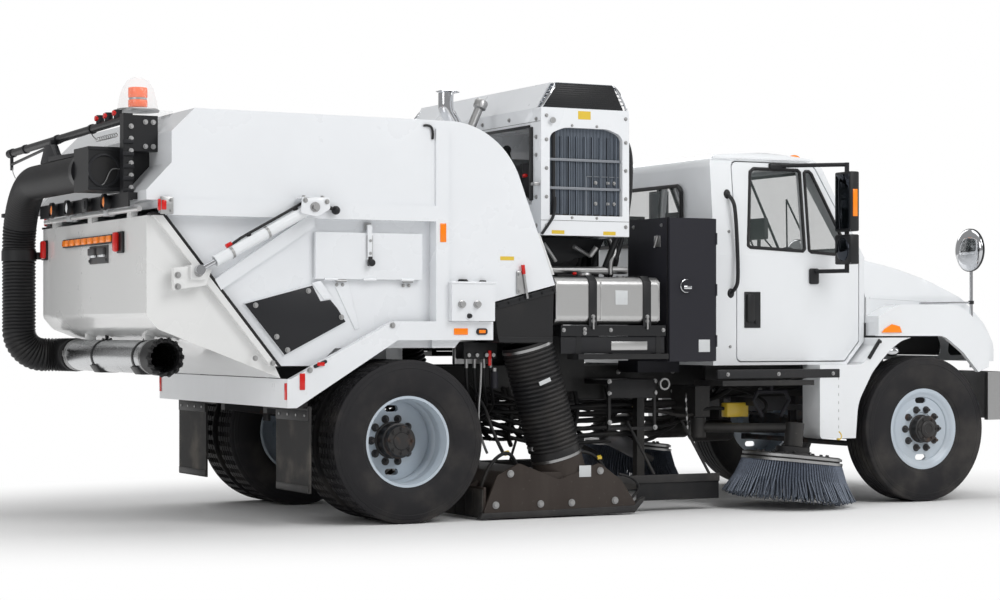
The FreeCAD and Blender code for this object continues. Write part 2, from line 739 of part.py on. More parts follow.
def cab_door(hollow, pane):
    """Front-hinged door, cut from the cab's own wall, with two panes."""
    window = [(1200, 1815, 50), (1695, 1790, 30), (1695, 2372, 30), (1265, 2372, 60)]
    vent = [(1725, 1788, 20), (2090, 1762, 25), (1785, 2365, 30), (1725, 2365, 20)]
    span = (-S.cab_half - 60, -S.cab_half + 160)
    blank = common("DoorBlank", hollow, door_prism("DoorBlock", S.gap))
    openings = Piece("DoorOpenings").pad("XZ", window, *span).pad("XZ", vent, *span)
    handle = block((1195, 1245), (-S.cab_half - 22, -S.cab_half + 4), (1300, 1480))
    right = node(fuse("cab_door_right", cut("DoorCut", blank, openings), handle, door_mirror()))
    node(mirrored("cab_door_left", right))
    glass = node(common("door_glass_right", pane, openings))
    node(mirrored("door_glass_left", glass))


def cab_interior():
    """Bench of two seats, dash and the two steering wheels."""
    parts = []
    for y in (-480, 480):
        parts.append(block((1080, 1560), (y - 230, y + 230), (S.cab_floor + S.wall, 1420)))
        parts.append(block((1000, 1130), (y - 230, y + 230), (1420, 2080)))
    seats = [fuse("Seat%d" % i, parts[2 * i], parts[2 * i + 1]) for i in (0, 1)]
    dash = Piece("Dash").pad("XZ", [
        (1900, 1400), (2145, 1400), (2145, 1725), (2050, 1740), (1880, 1640, 40)], -930, 930)
    leg = block((1900, 1990), (-400, 400), (S.cab_floor + S.wall, 1401))
    wheels = []
    for y in (-480, 480):
        hub, tilt = Vector(1800, y, 1640), Rotation(Vector(0, 1, 0), -62)
        rim = Piece("SteeringRing").turn("XZ", [
            (201, 0), (208, 12), (222, 12), (229, 0), (222, -12), (208, -12)], "V_Axis")
        rim.body.Placement = Placement(hub, tilt)
        spoke = DOC.addObject("Part::Box", "Spoke")
        spoke.Length, spoke.Width, spoke.Height = 60, 424, 16
        spoke.Placement = Placement(hub + tilt.multVec(Vector(-30, -212, -8)), tilt)
        wheels += [rim, spoke, bar(hub, Vector(1960, y, 1555), 30)]
    node(together("cab_interior", fuse("Dashboard", dash, leg, *wheels), *seats))


def cab_steps():
    """Black running boards hung below the cab."""
    tread = block((900, 1660), (800, 1165), (850, 885))
    riser = block((960, 1620), (820, 850), (885, S.cab_floor))
    arm = block((1200, 1300), (S.rail_out, 820), (850, 885))
    node(both_sides("cab_steps", fuse("CabStep", tread, riser, arm)))


def hood():
    """Tilting hood with its fenders, hollow over the engine and the wheels."""
    rear = S.cab_front + 12
    nose = 3385
    side = [
        (rear, S.hood_low), (rear, S.belt + 2), (2530, 1688, 900), (2810, 1600, 900),
        (3090, 1465, 500), (3290, 1290, 260), (nose, 1130, 150), (nose, S.hood_hinge_z + 20),
        (3150, S.hood_hinge_z + 20),
    ]
    inner = [
        (rear - 20, S.hood_low - 200), (rear - 20, S.belt - 40), (2530, 1648, 900), (2810, 1560, 900),
        (3070, 1430, 500), (3250, 1270, 240), (nose - 38, 1115, 130), (nose - 38, S.hood_hinge_z - 80),
    ]
    face = [(-1010, 900), (1010, 900), (1010, 1480, 60), (880, 1800, 160), (-880, 1800, 160),
            (-1010, 1480, 60)]
    inner_face = [(-972, 880), (972, 880), (972, 1470, 50), (850, 1762, 140), (-850, 1762, 140),
                  (-972, 1470, 50)]
    outer = common("HoodOuter", Piece("HoodSide").pad("XZ", side, -1010, 1010),
                   Piece("HoodFace").pad("YZ", face, rear, nose))
    room = common("HoodRoom", Piece("HoodInside").pad("XZ", inner, -1010, 1010),
                  Piece("HoodRoomFace").pad("YZ", inner_face, rear - 30, nose))
    fender = [
        (2120, S.hood_low), (2120, 1290, 30), (2390, 1420, 260), (2950, 1420, 280),
        (3230, 1190, 170), (3205, 965), (3112, 930), (2970, 1075, 200), (2800, S.hood_low, 160),
    ]
    inside = [
        (2160, S.hood_low - 20), (2160, 1262, 20), (2400, 1382, 230), (2940, 1382, 250),
        (3190, 1170, 140), (3190, 850), (2000, 850), (2000, S.hood_low - 20),
    ]
    skins = Piece("Fender").pad("XZ", fender, -S.fender_half, -S.cab_half + 120)
    wells = Piece("FenderWell").pad("XZ", inside, -S.fender_half + 38, -900)
    bulk = fuse("HoodBulk", outer, skins, mirrored("FenderLeft", skins))
    grille = Piece("GrilleHole").pad("YZ", [
        (-420, 1040, 30), (420, 1040, 30), (470, 1230, 30), (-470, 1230, 30)], nose - 120, nose + 20)
    behind = block((2000, rear), (-S.fender_half - 5, S.fender_half + 5), (S.hood_low - 50, 1800))
    lamp_hole = lamp_block("LampHole", 3, 3200, 3400)
    node(cut("hood", bulk, room, wells, mirrored("FenderWellLeft", wells), grille, behind,
             lamp_hole, mirrored("LampHoleRight", lamp_hole)))


def lamp_block(label, grow, rear, front):
    """Return the left headlamp's block, grown all round."""
    return Piece(label).pad("YZ", [
        (640 - grow, 1045 - grow, 40), (940 + grow, 1060 - grow, 40), (925 + grow, 1200 + grow, 50),
        (665 - grow, 1190 + grow, 50)], rear, front)


def hood_trim():
    """Slatted grille and the two headlamps, set in the hood's nose."""
    frame = Piece("GrilleFrame").pad("YZ", [
        (-415, 1045, 26), (415, 1045, 26), (464, 1225, 26), (-464, 1225, 26)], 3330, 3350)
    slats = [block((3350, 3372), (-400, 400), (z, z + 14)) for z in (1068, 1108, 1148, 1188)]
    lamp = lamp_block("Lamp", 0, 3250, 3388)
    node(together("hood_trim", fuse("Grille", frame, *slats), lamp, mirrored("LampLeft", lamp)))


def hood_mirrors():
    """Round convex mirrors on posts over the fenders."""
    head = Piece("MirrorHead").turn("XZ", [(0, 0), (60, 0), (125, 14), (154, 36), (154, 46), (0, 46)], "V_Axis")
    head.body.Placement = Placement(vector(3050, -1100, 1820), Rotation(Vector(0, 1, 0), 90))
    post = bar(vector(3102, -1100, 1305), vector(3102, -1100, 1790), 12)
    brace = bar(vector(2640, -1090, 1428.1), vector(3102, -1100, 1436), 8)
    node(both_sides("hood_mirrors", fuse("HoodMirror", head, post, brace)))


def door_mirror():
    """West-coast mirror of the right door: two arms carry a tall head and a short one."""
    y = -S.cab_half - 250
    head = block((1835, 1905), (y - 90, y + 90), (1930, 2340))
    lower = block((1835, 1905), (y - 90, y + 90), (1700, 1900))
    stem = bar(vector(1870, y, 1640), vector(1870, y, 2400), 14)
    top = bar(vector(1870, y, 2395), vector(1500, -925, 2395), 12)
    low = bar(vector(1870, y, 1650), vector(1760, -S.cab_half + 10, 1650), 12)
    return fuse("DoorMirror", head, lower, stem, top, low)


# ---------------------------------------------------------------- hopper

def seam_x(z):
    """Return where the rear door's seam lies at a height."""
    slope = (S.seam_top_x - S.seam_low_x) / (S.seam_top_z - S.hopper_low)
    return slope * (z - S.hopper_low) + S.seam_low_x


def tail_slope(z):
    """Return where the slope over the tail wall lies at a height."""
    return S.tail_wall + (z - 2440) * 1.014


def flange_slope(z):
    """Return where the slope below the tail wall lies at a height."""
    return S.tail_wall - (2250 - z) * (S.tail_wall - S.hopper_tail) / 170


def hopper():
    """Hopper shell with a recessed lower wall, a belt rail and a post on each side."""
    corners = [
        (S.seam_low_x, S.hopper_low), (-2080, S.hopper_low), (-1960, S.hopper_low + 110),
        (-1140, S.hopper_low + 110), (-876, 1417), (S.hopper_nose, 1531),
        (S.hopper_nose - 395, S.hopper_top - 8, 550), (tail_slope(S.hopper_top), S.hopper_top),
        (S.tail_wall, 2440), (S.tail_wall, 2250), (S.hopper_tail, 2080),
        (S.hopper_tail, 2020), (S.seam_top_x - 40, 2020),
        (S.seam_top_x, S.seam_top_z),
    ]
    w = S.hopper_wall
    inner = [
        (-3500, S.hopper_low + w), (-2100, S.hopper_low + w), (-1980, S.hopper_low + 110 + w),
        (-1165, S.hopper_low + 110 + w), (-905, 1457), (S.hopper_nose - 60, 1567),
        (S.hopper_nose - 425, S.hopper_top - 53, 510), (tail_slope(S.hopper_top) + 20, S.hopper_top - w),
        (S.tail_wall + w, 2420), (S.tail_wall + w, 2235), (S.hopper_tail + 62, 2083),
        (S.hopper_tail + 62, 2065), (S.seam_top_x - 20, 2065),
        (S.seam_top_x - 20, 1935), (-3500, 1935),
    ]
    outer = Piece("HopperOuter").pad("XZ", corners, -S.hopper_half, S.hopper_half)
    recess = block((-3400, S.post_rear), (-1400, -S.lower_half), (900, S.belt_rail))
    room = Piece("HopperRoom").pad("XZ", inner, -S.lower_half + w, S.lower_half - w)
    notch = block((S.post_rear, -880), (-1400, -S.body_half + 60), (900, S.rail_z + S.rail_deep))
    shell = cut("HopperCut", outer, recess, mirrored("RecessLeft", recess), notch,
                mirrored("NotchLeft", notch), room)
    trims = []
    reach = (S.hopper_half - 5, S.body_half)
    rail = block((S.seam_top_x, S.post_rear), reach, (S.belt_rail, S.belt_rail + 100))
    post = block((S.post_rear, S.post_rear + 90), reach, (S.rail_z + S.rail_deep, S.hopper_top - 60))
    box = block((-1210, -900), (S.hopper_half - 5, S.body_half + 45), (1292, 1540))
    rib = Piece("Rib").pad("XZ", [
        (-2780, 1545), (-2740, 1480), (-2120, 1880), (-2120, 1940), (-2180, 1940)],
        S.lower_half - 5, S.lower_half + 50)
    ear = Piece("LiftEar").pad("XZ", [
        (-2260, 1935), (-2230, 2030), (-2080, 2030), (-2080, 1935)], S.hopper_half, S.lift_y - 44)
    pin = bar(vector(S.lift_top_x, S.hopper_half, S.lift_top_z),
              vector(S.lift_top_x, S.lift_y - 21, S.lift_top_z), 14)
    guard = Piece("Guard").pad("XZ", [(-2575, 1400), (-2310, 1075), (-1890, 1285), (-2080, 1535)],
                               S.lower_half - 5, S.lower_half + 14)
    for piece in (rail, post, box, rib, ear, pin, guard):
        trims += [piece, mirrored("HopperTrimRight", piece)]
    hole = block((-2075, -1405), (-1300, -1000), (1592, 1808))
    feet = [block((x, x + 120), (-S.rail_out, S.rail_out), (S.rail_top, top))
            for x, top in ((-2220, S.hopper_low), (-1780, S.hopper_low + 110), (-1300, S.hopper_low + 110))]
    bore = bar(vector(S.hinge_x, -600, S.hinge_z), vector(S.hinge_x, 600, S.hinge_z), 18)
    lugs = [cut("HingeLug%d" % i, block((S.hinge_x - 30, S.hinge_x + 30), (y - 25, y + 25),
                                        (S.hinge_z - 22, 2025)), bore)
            for i, y in enumerate((-400, 400))]
    body = fuse("HopperBody", shell, *(trims + feet + lugs))
    node(cut("hopper_shell", body, hole, mirrored("HatchHoleLeft", hole)))


def inspection_doors():
    """Bottom-hinged hatch plates with a T-latch on the lower walls."""
    plate = block((-2110, -1370), (-S.lower_half - 40, -S.lower_half - 6), (1555, 1850))
    latch = block((-1760, -1730), (-S.lower_half - 58, -S.lower_half - 38), (1680, 1900))
    barrels = [bar(vector(x, -S.lower_half - 40, 1555), vector(x + 90, -S.lower_half - 40, 1555), 9)
               for x in (-2050, -1785, -1520)]
    right = node(fuse("inspection_door_right", plate, latch, *barrels))
    node(mirrored("inspection_door_left", right))


def air_boots():
    """Rubber boots under the hopper's front edge, tapering to the hoses."""
    outline = [(-870, 1409), (-430, 1520), (-440, 1150, 60), (-840, 1150, 60)]
    boot = Piece("Boot").pad("XZ", outline, S.hose_y - 165, S.hose_y + 165)
    node(both_sides("air_boots", boot))


def hose_ends():
    """Return the middle of the left air hose's upper and lower ends."""
    return vector(-547, S.hose_y, 1149), vector(-320, S.hose_y, 385)


def air_hoses():
    """Ribbed hoses from the boots to the pick-up head."""
    start, end = hose_ends()
    hose = bar(start, end, S.hose_radius)
    top = block((-900, -300), (S.hose_y - 200, S.hose_y + 200), (1149, 1300))
    node(both_sides("air_hoses", cut("AirHose", hose, top)))


def pickup_head():
    """Pick-up head: an arched pressure chamber between two side plates."""
    chamber = Piece("HeadChamber").pad("XZ", [
        (-860, 70), (-100, 70), (-100, 230, 40), (-300, 300, 60), (-700, 300, 60), (-860, 230, 40)],
        -S.head_half + 20, S.head_half - 20)
    start, end = hose_ends()
    collar = bar(end, end + (end - start).normalize() * 130, S.hose_radius - 4)
    collars = [collar, mirrored("CollarRight", collar)]
    side = [
        (-940, 26), (-950, 60), (-854, 290, 30), (-692, 365, 30), (-394, 250, 60), (-90, 352, 30),
        (79, 234, 30), (200, 60), (190, 26),
    ]
    plate = Piece("HeadPlate").pad("XZ", side, S.head_half - 20, S.head_half)
    node(fuse("pickup_head", chamber, plate, mirrored("HeadPlateRight", plate), *collars))
    links = [bar(vector(-600, y, 300), vector(-600, y, S.rail_low), 18) for y in (390, -390)]
    arms = [block((-100, 620), (y - 30, y + 30), (120, 180)) for y in (560, -560)]
    posts = [block((560, 620), (y - 30, y + 30), (180, S.rail_low + 20)) for y in (560, -560)]
    ties = [block((560, 620), (min(y, 0.77 * y), max(y, 0.77 * y)), (S.rail_low + 20, S.rail_low + 80))
            for y in (560, -560)]
    drags = [fuse("DragArm%d" % i, arms[i], posts[i], ties[i]) for i in (0, 1)]
    node(together("tool_links", *links, *drags, *broom_hangers()))


def rear_door():
    """Dished rear door hung from its top edge, closing along the slanted seam."""
    gap = 10
    low = S.hopper_low
    outline = [
        (S.seam_top_x - gap - 6, S.seam_top_z), (S.seam_low_x - gap - 6, low),
        (S.seam_low_x + 21, low - 75), (S.hinge_x + 80, 1240, 90), (S.hinge_x + 10, 1320, 50),
        (S.hinge_x + 10, S.seam_top_z - 5),
    ]
    inner = [
        (S.seam_top_x + 60, S.seam_top_z - 45), (S.seam_low_x + 60, low - 2), (S.seam_low_x - 20, low - 5),
        (S.hinge_x + 100, 1290, 70), (S.hinge_x + 52, 1345, 30), (S.hinge_x + 52, S.seam_top_z - 45),
    ]
    half = S.lower_half
    dish = Piece("DoorDish").pad("XZ", outline, -half, half).pocket("XZ", inner, -half + 40, half - 40)
    flange = [
        (S.seam_top_x - gap - 6, S.seam_top_z), (S.seam_low_x - gap - 6, low),
        (S.seam_low_x - gap - 50, low), (S.seam_top_x - gap - 60, S.seam_top_z - 5),
    ]
    rim = Piece("DoorFlange").pad("XZ", flange, half - 4, half + 45)
    ear = block((S.lift_rod_x - 50, S.lift_rod_x + 50), (half - 2, S.lift_y - 22),
                (S.lift_rod_z - 60, S.lift_rod_z + 30))
    hinge = bar(vector(S.hinge_x, -half + 100, S.hinge_z), vector(S.hinge_x, half - 100, S.hinge_z), 16)
    tabs = [block((S.hinge_x - 2, S.hinge_x + 40), (y - 40, y + 40), (S.seam_top_z - 10, S.hinge_z + 4))
            for y in (-800, 0, 800)]
    brackets = [block((S.nozzle_x - 30, S.nozzle_x + 30), (y - 30, y + 30), (S.nozzle_z + 105, 1250))
                for y in (-600, 600)]
    node(fuse("rear_door", dish, rim, mirrored("DoorFlangeLeft", rim), ear, mirrored("EarLeft", ear),
              hinge, *(tabs + brackets)))


def rear_lamps():
    """Light bar and the two tail lamps on the rear door's face."""
    x = S.hinge_x + 10
    bar_light = block((x - 30, x), (-520, 560), (1785, 1835))
    tails = [block((x - 46, x), (y - 40, y + 40), (1725, 1845)) for y in (-590, 1000)]
    node(together("rear_lamps", bar_light, *tails))


def lift_cylinders():
    """Lift cylinders: a barrel pinned to the hopper and a rod pinned to the rear door."""
    top = vector(S.lift_top_x, -S.lift_y, S.lift_top_z)
    pin = vector(S.lift_rod_x, -S.lift_y, S.lift_rod_z)
    axis = (pin - top).normalize()
    length = (pin - top).Length
    barrel_end = top + axis * (length - 110)
    tube = bar(top + axis * 20, barrel_end, 36)
    bore = bar(top + axis * 80, barrel_end + axis * 20, 22)
    eye = bar(top + Vector(0, -20, 0), top + Vector(0, 20, 0), 34)
    node(both_sides("lift_barrels", cut("LiftBarrel", fuse("BarrelBody", tube, eye), bore)))
    rod = bar(top + axis * 95, pin, 16)
    rod_eye = bar(pin + Vector(0, -18, 0), pin + Vector(0, 18, 0), 30)
    node(both_sides("lift_rods", fuse("LiftRod", rod, rod_eye)))


# ---------------------------------------------------------------- auxiliary engine

def engine_housing():
    """Sheet housing of the auxiliary engine, open below and behind, with the air intake on top."""
    wall = 40
    outer = block((S.engine_rear, S.engine_front), (-S.engine_half, S.engine_half), (S.engine_low, S.engine_top))
    room = block((S.engine_rear + wall, S.engine_front - wall), (-S.engine_half + wall, S.engine_half - wall),
                 (S.engine_low - 50, S.engine_top - wall))
    screen = Piece("ScreenHole").pad("XZ", [
        (-390, 2000), (170, 2000), (170, 2540, 60), (60, 2585, 200), (-280, 2585, 200), (-390, 2540, 60)],
        -S.engine_half - 20, S.engine_half + 20)
    window = Piece("RearWindow").pad("YZ", [
        (-920, 2060, 20), (-880, 2600, 20), (-200, 2600, 20), (-200, 2400, 40)],
        S.engine_rear - 20, S.engine_rear + wall + 20)
    plenum = Piece("Plenum").pad("XZ", [
        (S.engine_rear + 15, S.engine_top - 1), (S.engine_front - 32, S.engine_top - 1),
        (S.engine_front - 122, S.hood_top), (S.engine_rear + 115, S.hood_top)],
        -S.engine_half + 90, S.engine_half - 20)
    cheeks = [block((x, x + 60), (y, y + 60), (S.rail_top + 200, S.engine_low))
              for x, y in ((-410, -640), (162, -640), (-410, 580), (162, 580))]
    base = block((-410, 222), (-640, 640), (S.rail_top + 200, S.rail_top + 230))
    feet = [block((-300, 60), (y - 40, y + 40), (S.rail_top, S.rail_top + 201)) for y in (-390, 390)]
    shell = cut("HousingCut", outer, room, screen, window)
    node(fuse("engine_housing", shell, plenum))
    shelf = tank_shelf()
    node(fuse("engine_stand", base, shelf, mirrored("TankShelfRight", shelf), *(cheeks + feet)))


def tank_shelf():
    """Shelf and step below a tank, carried from the frame rail."""
    shelf = block((-360, 450), (S.rail_out, 1150), (1195, 1267))
    leg = block((-120, 180), (S.rail_out, S.rail_out + 80), (S.rail_low + 60, 1195))
    step = block((-250, 450), (1040, S.body_half - 10), (1040, 1075))
    hangers = [block((x, x + 40), (1060, 1140), (1075, 1195)) for x in (-240, 380)]
    return fuse("TankShelf", shelf, leg, step, *hangers)


def radiator_screen():
    """Ribbed screen behind the arched opening, and the black intake face."""
    plate = Piece("ScreenPlate").pad("XZ", [
        (-400, 1990), (180, 1990), (180, 2550, 60), (66, 2600, 200), (-286, 2600, 200), (-400, 2550, 60)],
        -S.engine_half + 42, -S.engine_half + 60)
    ribs = [block((x, x + 12), (-S.engine_half + 30, -S.engine_half + 44), (2004, 2530))
            for x in range(-350, 160, 60)]
    hood_face = Piece("IntakeFace").pad("XZ", [
        (S.engine_rear + 25, S.engine_top + 2), (S.engine_front - 42, S.engine_top + 2),
        (S.engine_front - 128, S.hood_top - 6), (S.engine_rear + 121, S.hood_top - 6)],
        -S.engine_half + 10, -S.engine_half + 88)
    node(together("intake_screens", fuse("RadiatorScreen", plate, *ribs), hood_face))


def aux_engine():
    """Auxiliary engine inside the housing, as one plain block with its sump."""
    engine = block((-345, 120), (-560, 560), (1500, 2150))
    head = block((-300, 60), (-500, 500), (2150, 2380))
    sump = block((-300, 60), (-420, 420), (S.rail_top + 230, 1500))
    node(fuse("aux_engine", engine, head, sump))


def exhaust_stack():
    """Chrome exhaust: out of the housing's rear, then up and over to an upright mouth."""
    points = [Vector(-420, -300, 2480), Vector(-610, -300, 2480), Vector(-790, -300, 2740),
              Vector(-790, -300, 2866)]
    node(tube("exhaust_stack", points, 52, (110, 120)))


def tube(label, points, radius, bends):
    """Sweep a round tube along straight runs joined by tangent arcs."""
    path = Part.Wire(route(points, bends))
    first = (points[1] - points[0]).normalize()
    disc = Part.Wire(Part.makeCircle(float(radius), points[0], first))
    solid = path.makePipeShell([disc], True, True)
    feature = DOC.addObject("Part::Feature", label)
    feature.Shape = solid
    feature.Label = label
    return feature


def route(points, bends):
    """Return line and arc edges through the points, rounded by each bend's radius."""
    edges = []
    here = points[0]
    for index, bend in enumerate(bends, start=1):
        corner = points[index]
        back = (points[index - 1] - corner).normalize()
        ahead = (points[index + 1] - corner).normalize()
        half = back.getAngle(ahead) / 2
        reach = bend / math.tan(half)
        centre = corner + (back + ahead).normalize() * (bend / math.sin(half))
        middle = centre + (corner - centre).normalize() * bend
        edges.append(Part.LineSegment(here, corner + back * reach).toShape())
        edges.append(Part.Arc(corner + back * reach, middle, corner + ahead * reach).toShape())
        here = corner + ahead * reach
    edges.append(Part.LineSegment(here, points[-1]).toShape())
    return edges


# ---------------------------------------------------------------- tail equipment

def hose_port():
    """Square port box on the tail, with the boom that carries the rear hose."""
    x, z = S.tail_hose_x, S.tail_hose_z
    box = block((x - 105, S.hopper_tail), (-800, -500), (z - 135, z + 135))
    stub = bar(vector(x, -501, z), vector(x, -440, z), S.tail_hose_radius + 8)
    neck = Piece("PortNeck").pad("XZ", [
        (S.hopper_tail - 2, 2110), (flange_slope(2110), 2110), (S.tail_wall, 2250), (S.tail_wall, 2340),
        (S.hopper_tail - 2, 2340)], -770, -560)
    post = block((S.hopper_tail - 60, S.hopper_tail), (-930, -860), (2030, 2560))
    plate = block((S.hopper_tail - 2, S.tail_wall), (-930, -860), (2330, 2550))
    boom = bar(vector(S.hopper_tail - 30, -900, 2528), vector(x, 1330, 2462), 26)
    rod = bar(vector(x, 1300, 2385), vector(x + 50, 100, 2485), 10)
    hook = bar(vector(x, 1300, 2465), vector(x, 1300, 2380), 12)
    node(together("hose_port", fuse("PortBox", box, stub, neck), fuse("Boom", post, plate, boom, rod, hook),
                  lamp_band()))


def lamp_band():
    """Band of four round lamps across the tail, standing off behind the rear door's hinge."""
    rear = S.hopper_tail - 70
    low, high = 1985, 2072
    band = block((rear, rear + 12), (-1050, 830), (low, high))
    hangers = [block((rear + 10, S.hopper_tail), (y - 20, y + 20), (2030, high)) for y in (-1000, -100, 780)]
    rounds = [bar(vector(rear - 34, y, 2026), vector(rear + 2, y, 2026), 41) for y in (-694, -304, 83, 425)]
    return fuse("LampBand", band, *(hangers + rounds))


def rear_hose():
    """Rear hand hose: along the tail, down the left side, and into the nozzle tube."""
    x, y, z = S.tail_hose_x, S.tail_hose_y, S.tail_hose_z
    points = [vector(x, -438, z), vector(x, y, z), vector(x, y, S.nozzle_z),
              vector(S.nozzle_x, y, S.nozzle_z), vector(S.nozzle_x, 903, S.nozzle_z)]
    node(tube("rear_hose", points, S.tail_hose_radius, (430, 170, 170)))


def nozzle():
    """Aluminium nozzle tube strapped below the rear door."""
    outer = bar(vector(S.nozzle_x, -900, S.nozzle_z), vector(S.nozzle_x, 900, S.nozzle_z), 105)
    bore = bar(vector(S.nozzle_x, -910, S.nozzle_z), vector(S.nozzle_x, 910, S.nozzle_z), 97)
    node(cut("hose_nozzle", outer, bore))


def beacon():
    """Domed warning beacon with its pedestal on the hopper's rear edge."""
    rear, low, top = S.tail_wall - 170, S.hopper_top - 25, S.hopper_top + 14
    base = Piece("Pedestal").pad("XZ", [
        (rear, low), (tail_slope(low), low), (tail_slope(S.hopper_top), S.hopper_top),
        (tail_slope(S.hopper_top), top), (rear, top)], -790, -590)
    dome = Piece("Dome").turn("XZ", [
        (0, 0), (128, 0), (118, 70), (98, 140), (70, 188), (38, 208), (0, 212)], "V_Axis")
    dome.place(S.tail_wall - 48, -690, S.hopper_top + 13)
    node(fuse("beacon", base, dome))


# ---------------------------------------------------------------- brooms

def broom_top():
    """Return the broom's tilt, its hub and the top of its motor."""
    hub = vector(S.broom_x, -S.broom_y, S.broom_z)
    tilt = Rotation(Vector(0, 1, 0), float(S.broom_tilt))
    return tilt, hub, hub + tilt.multVec(Vector(0, 0, 220))


def broom_hangers():
    """Brackets below the frame rails that carry the broom arms' swivels."""
    top = broom_top()[2].z
    right = block((S.arm_x - 60, S.arm_x + 60), (-S.arm_y - 60, -S.rail_out), (top + 76, S.rail_low + 90))
    return [right, mirrored("BroomHangerLeft", right)]


def brooms():
    """Gutter brooms on swinging arms; each disc is tipped forward on its motor."""
    tilt, hub, top = broom_top()
    outline = [
        (0, -40), (200, -40), (200, -6), (S.broom_radius - 120, -285), (S.broom_radius, -255),
        (300, -2), (310, 0), (310, 40), (120, 52), (120, 90), (0, 90),
    ]
    broom = Piece("gutter_broom_right").turn("XZ", outline, "V_Axis")
    broom.body.Placement = Placement(hub, tilt)
    node(mirrored("gutter_broom_left", node(broom)))
    motor = bar(hub + tilt.multVec(Vector(0, 0, 96)), hub + tilt.multVec(Vector(0, 0, 260)), 65)
    pivot = vector(S.arm_x, -S.arm_y, top.z)
    arm = bar(pivot, top, 34)
    swivel = bar(pivot + Vector(0, 0, -70), pivot + Vector(0, 0, 70), 55)
    right = node(fuse("broom_arm_right", motor, arm, swivel))
    node(mirrored("broom_arm_left", right))


def build():
    """Make every sub-part."""
    for make in (
        frame_rails, frame_crossmembers, leaf_springs, front_axle, knuckle, tie_rod, rear_axle,
        drivetrain, front_bumper, rear_bumper, fender_rails, mud_flaps, side_tanks,
        tool_cabinet, front_wheels, rear_wheels, cab, splash_panels, cab_interior, cab_steps, hood,
        hood_trim, hood_mirrors, hopper, inspection_doors, air_boots,
        air_hoses, pickup_head, rear_door, rear_lamps, lift_cylinders, engine_housing,
        radiator_screen, aux_engine, exhaust_stack, hose_port, rear_hose, nozzle, beacon, brooms,
    ):
        make()
    DOC.recompute()


def check():
    """Stop if any object failed or any sub-part has no valid shape."""
    failed = [t.Name for t in DOC.Objects if {"Invalid", "Error"} & set(t.State)]
    if failed:
        raise RuntimeError("failed: %s" % ", ".join(failed))
    for thing in NODES:
        if thing.Shape.isNull() or not thing.Shape.isValid():
            raise RuntimeError("%s has no valid shape" % thing.Label)


def export():
    """Write each sub-part to its own STEP file."""
    os.makedirs("parts", exist_ok=True)
    for thing in NODES:
        thing.Shape.exportStep("parts/%s.step" % thing.Label)


build()
check()
export()
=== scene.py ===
"""Dresses the street sweeper truck: a finish for every solid, and the pieces too fine for the solids."""

import logging
import math
import random
from dataclasses import dataclass
from enum import Enum
from typing import Callable, Dict, Iterable, List, Optional, Sequence, Tuple, Union

import bmesh
import bpy
from mathutils import Matrix, Vector


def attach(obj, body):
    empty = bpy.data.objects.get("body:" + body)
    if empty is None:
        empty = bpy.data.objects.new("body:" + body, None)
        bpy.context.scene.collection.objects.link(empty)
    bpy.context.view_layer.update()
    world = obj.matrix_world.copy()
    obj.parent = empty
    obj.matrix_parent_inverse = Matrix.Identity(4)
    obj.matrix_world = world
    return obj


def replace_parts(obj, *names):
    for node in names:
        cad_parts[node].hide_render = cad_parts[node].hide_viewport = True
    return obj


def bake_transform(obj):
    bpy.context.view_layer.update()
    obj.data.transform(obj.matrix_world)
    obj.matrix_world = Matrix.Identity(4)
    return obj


LOG = logging.getLogger("sweeper")
Point = Tuple[float, float, float]
Span = Tuple[float, float]
Colour = Tuple[float, float, float]
Value = Union[float, Colour, "Wire"]
SIDES = ((-1, "right"), (1, "left"))
AHEAD, BACK, LEFT, RIGHT, UP, DOWN = (1, 0, 0), (-1, 0, 0), (0, 1, 0), (0, -1, 0), (0, 0, 1), (0, 0, -1)
MM = 0.001  # the pieces are sized in millimetres, the scene in metres

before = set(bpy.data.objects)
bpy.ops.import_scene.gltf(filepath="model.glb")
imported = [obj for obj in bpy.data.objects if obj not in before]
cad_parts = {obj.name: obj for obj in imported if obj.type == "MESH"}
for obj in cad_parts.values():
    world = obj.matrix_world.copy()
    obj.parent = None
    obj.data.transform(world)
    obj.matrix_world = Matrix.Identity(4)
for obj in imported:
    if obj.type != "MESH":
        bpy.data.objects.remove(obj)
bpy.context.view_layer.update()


# ---------------------------------------------------------------- shader graph


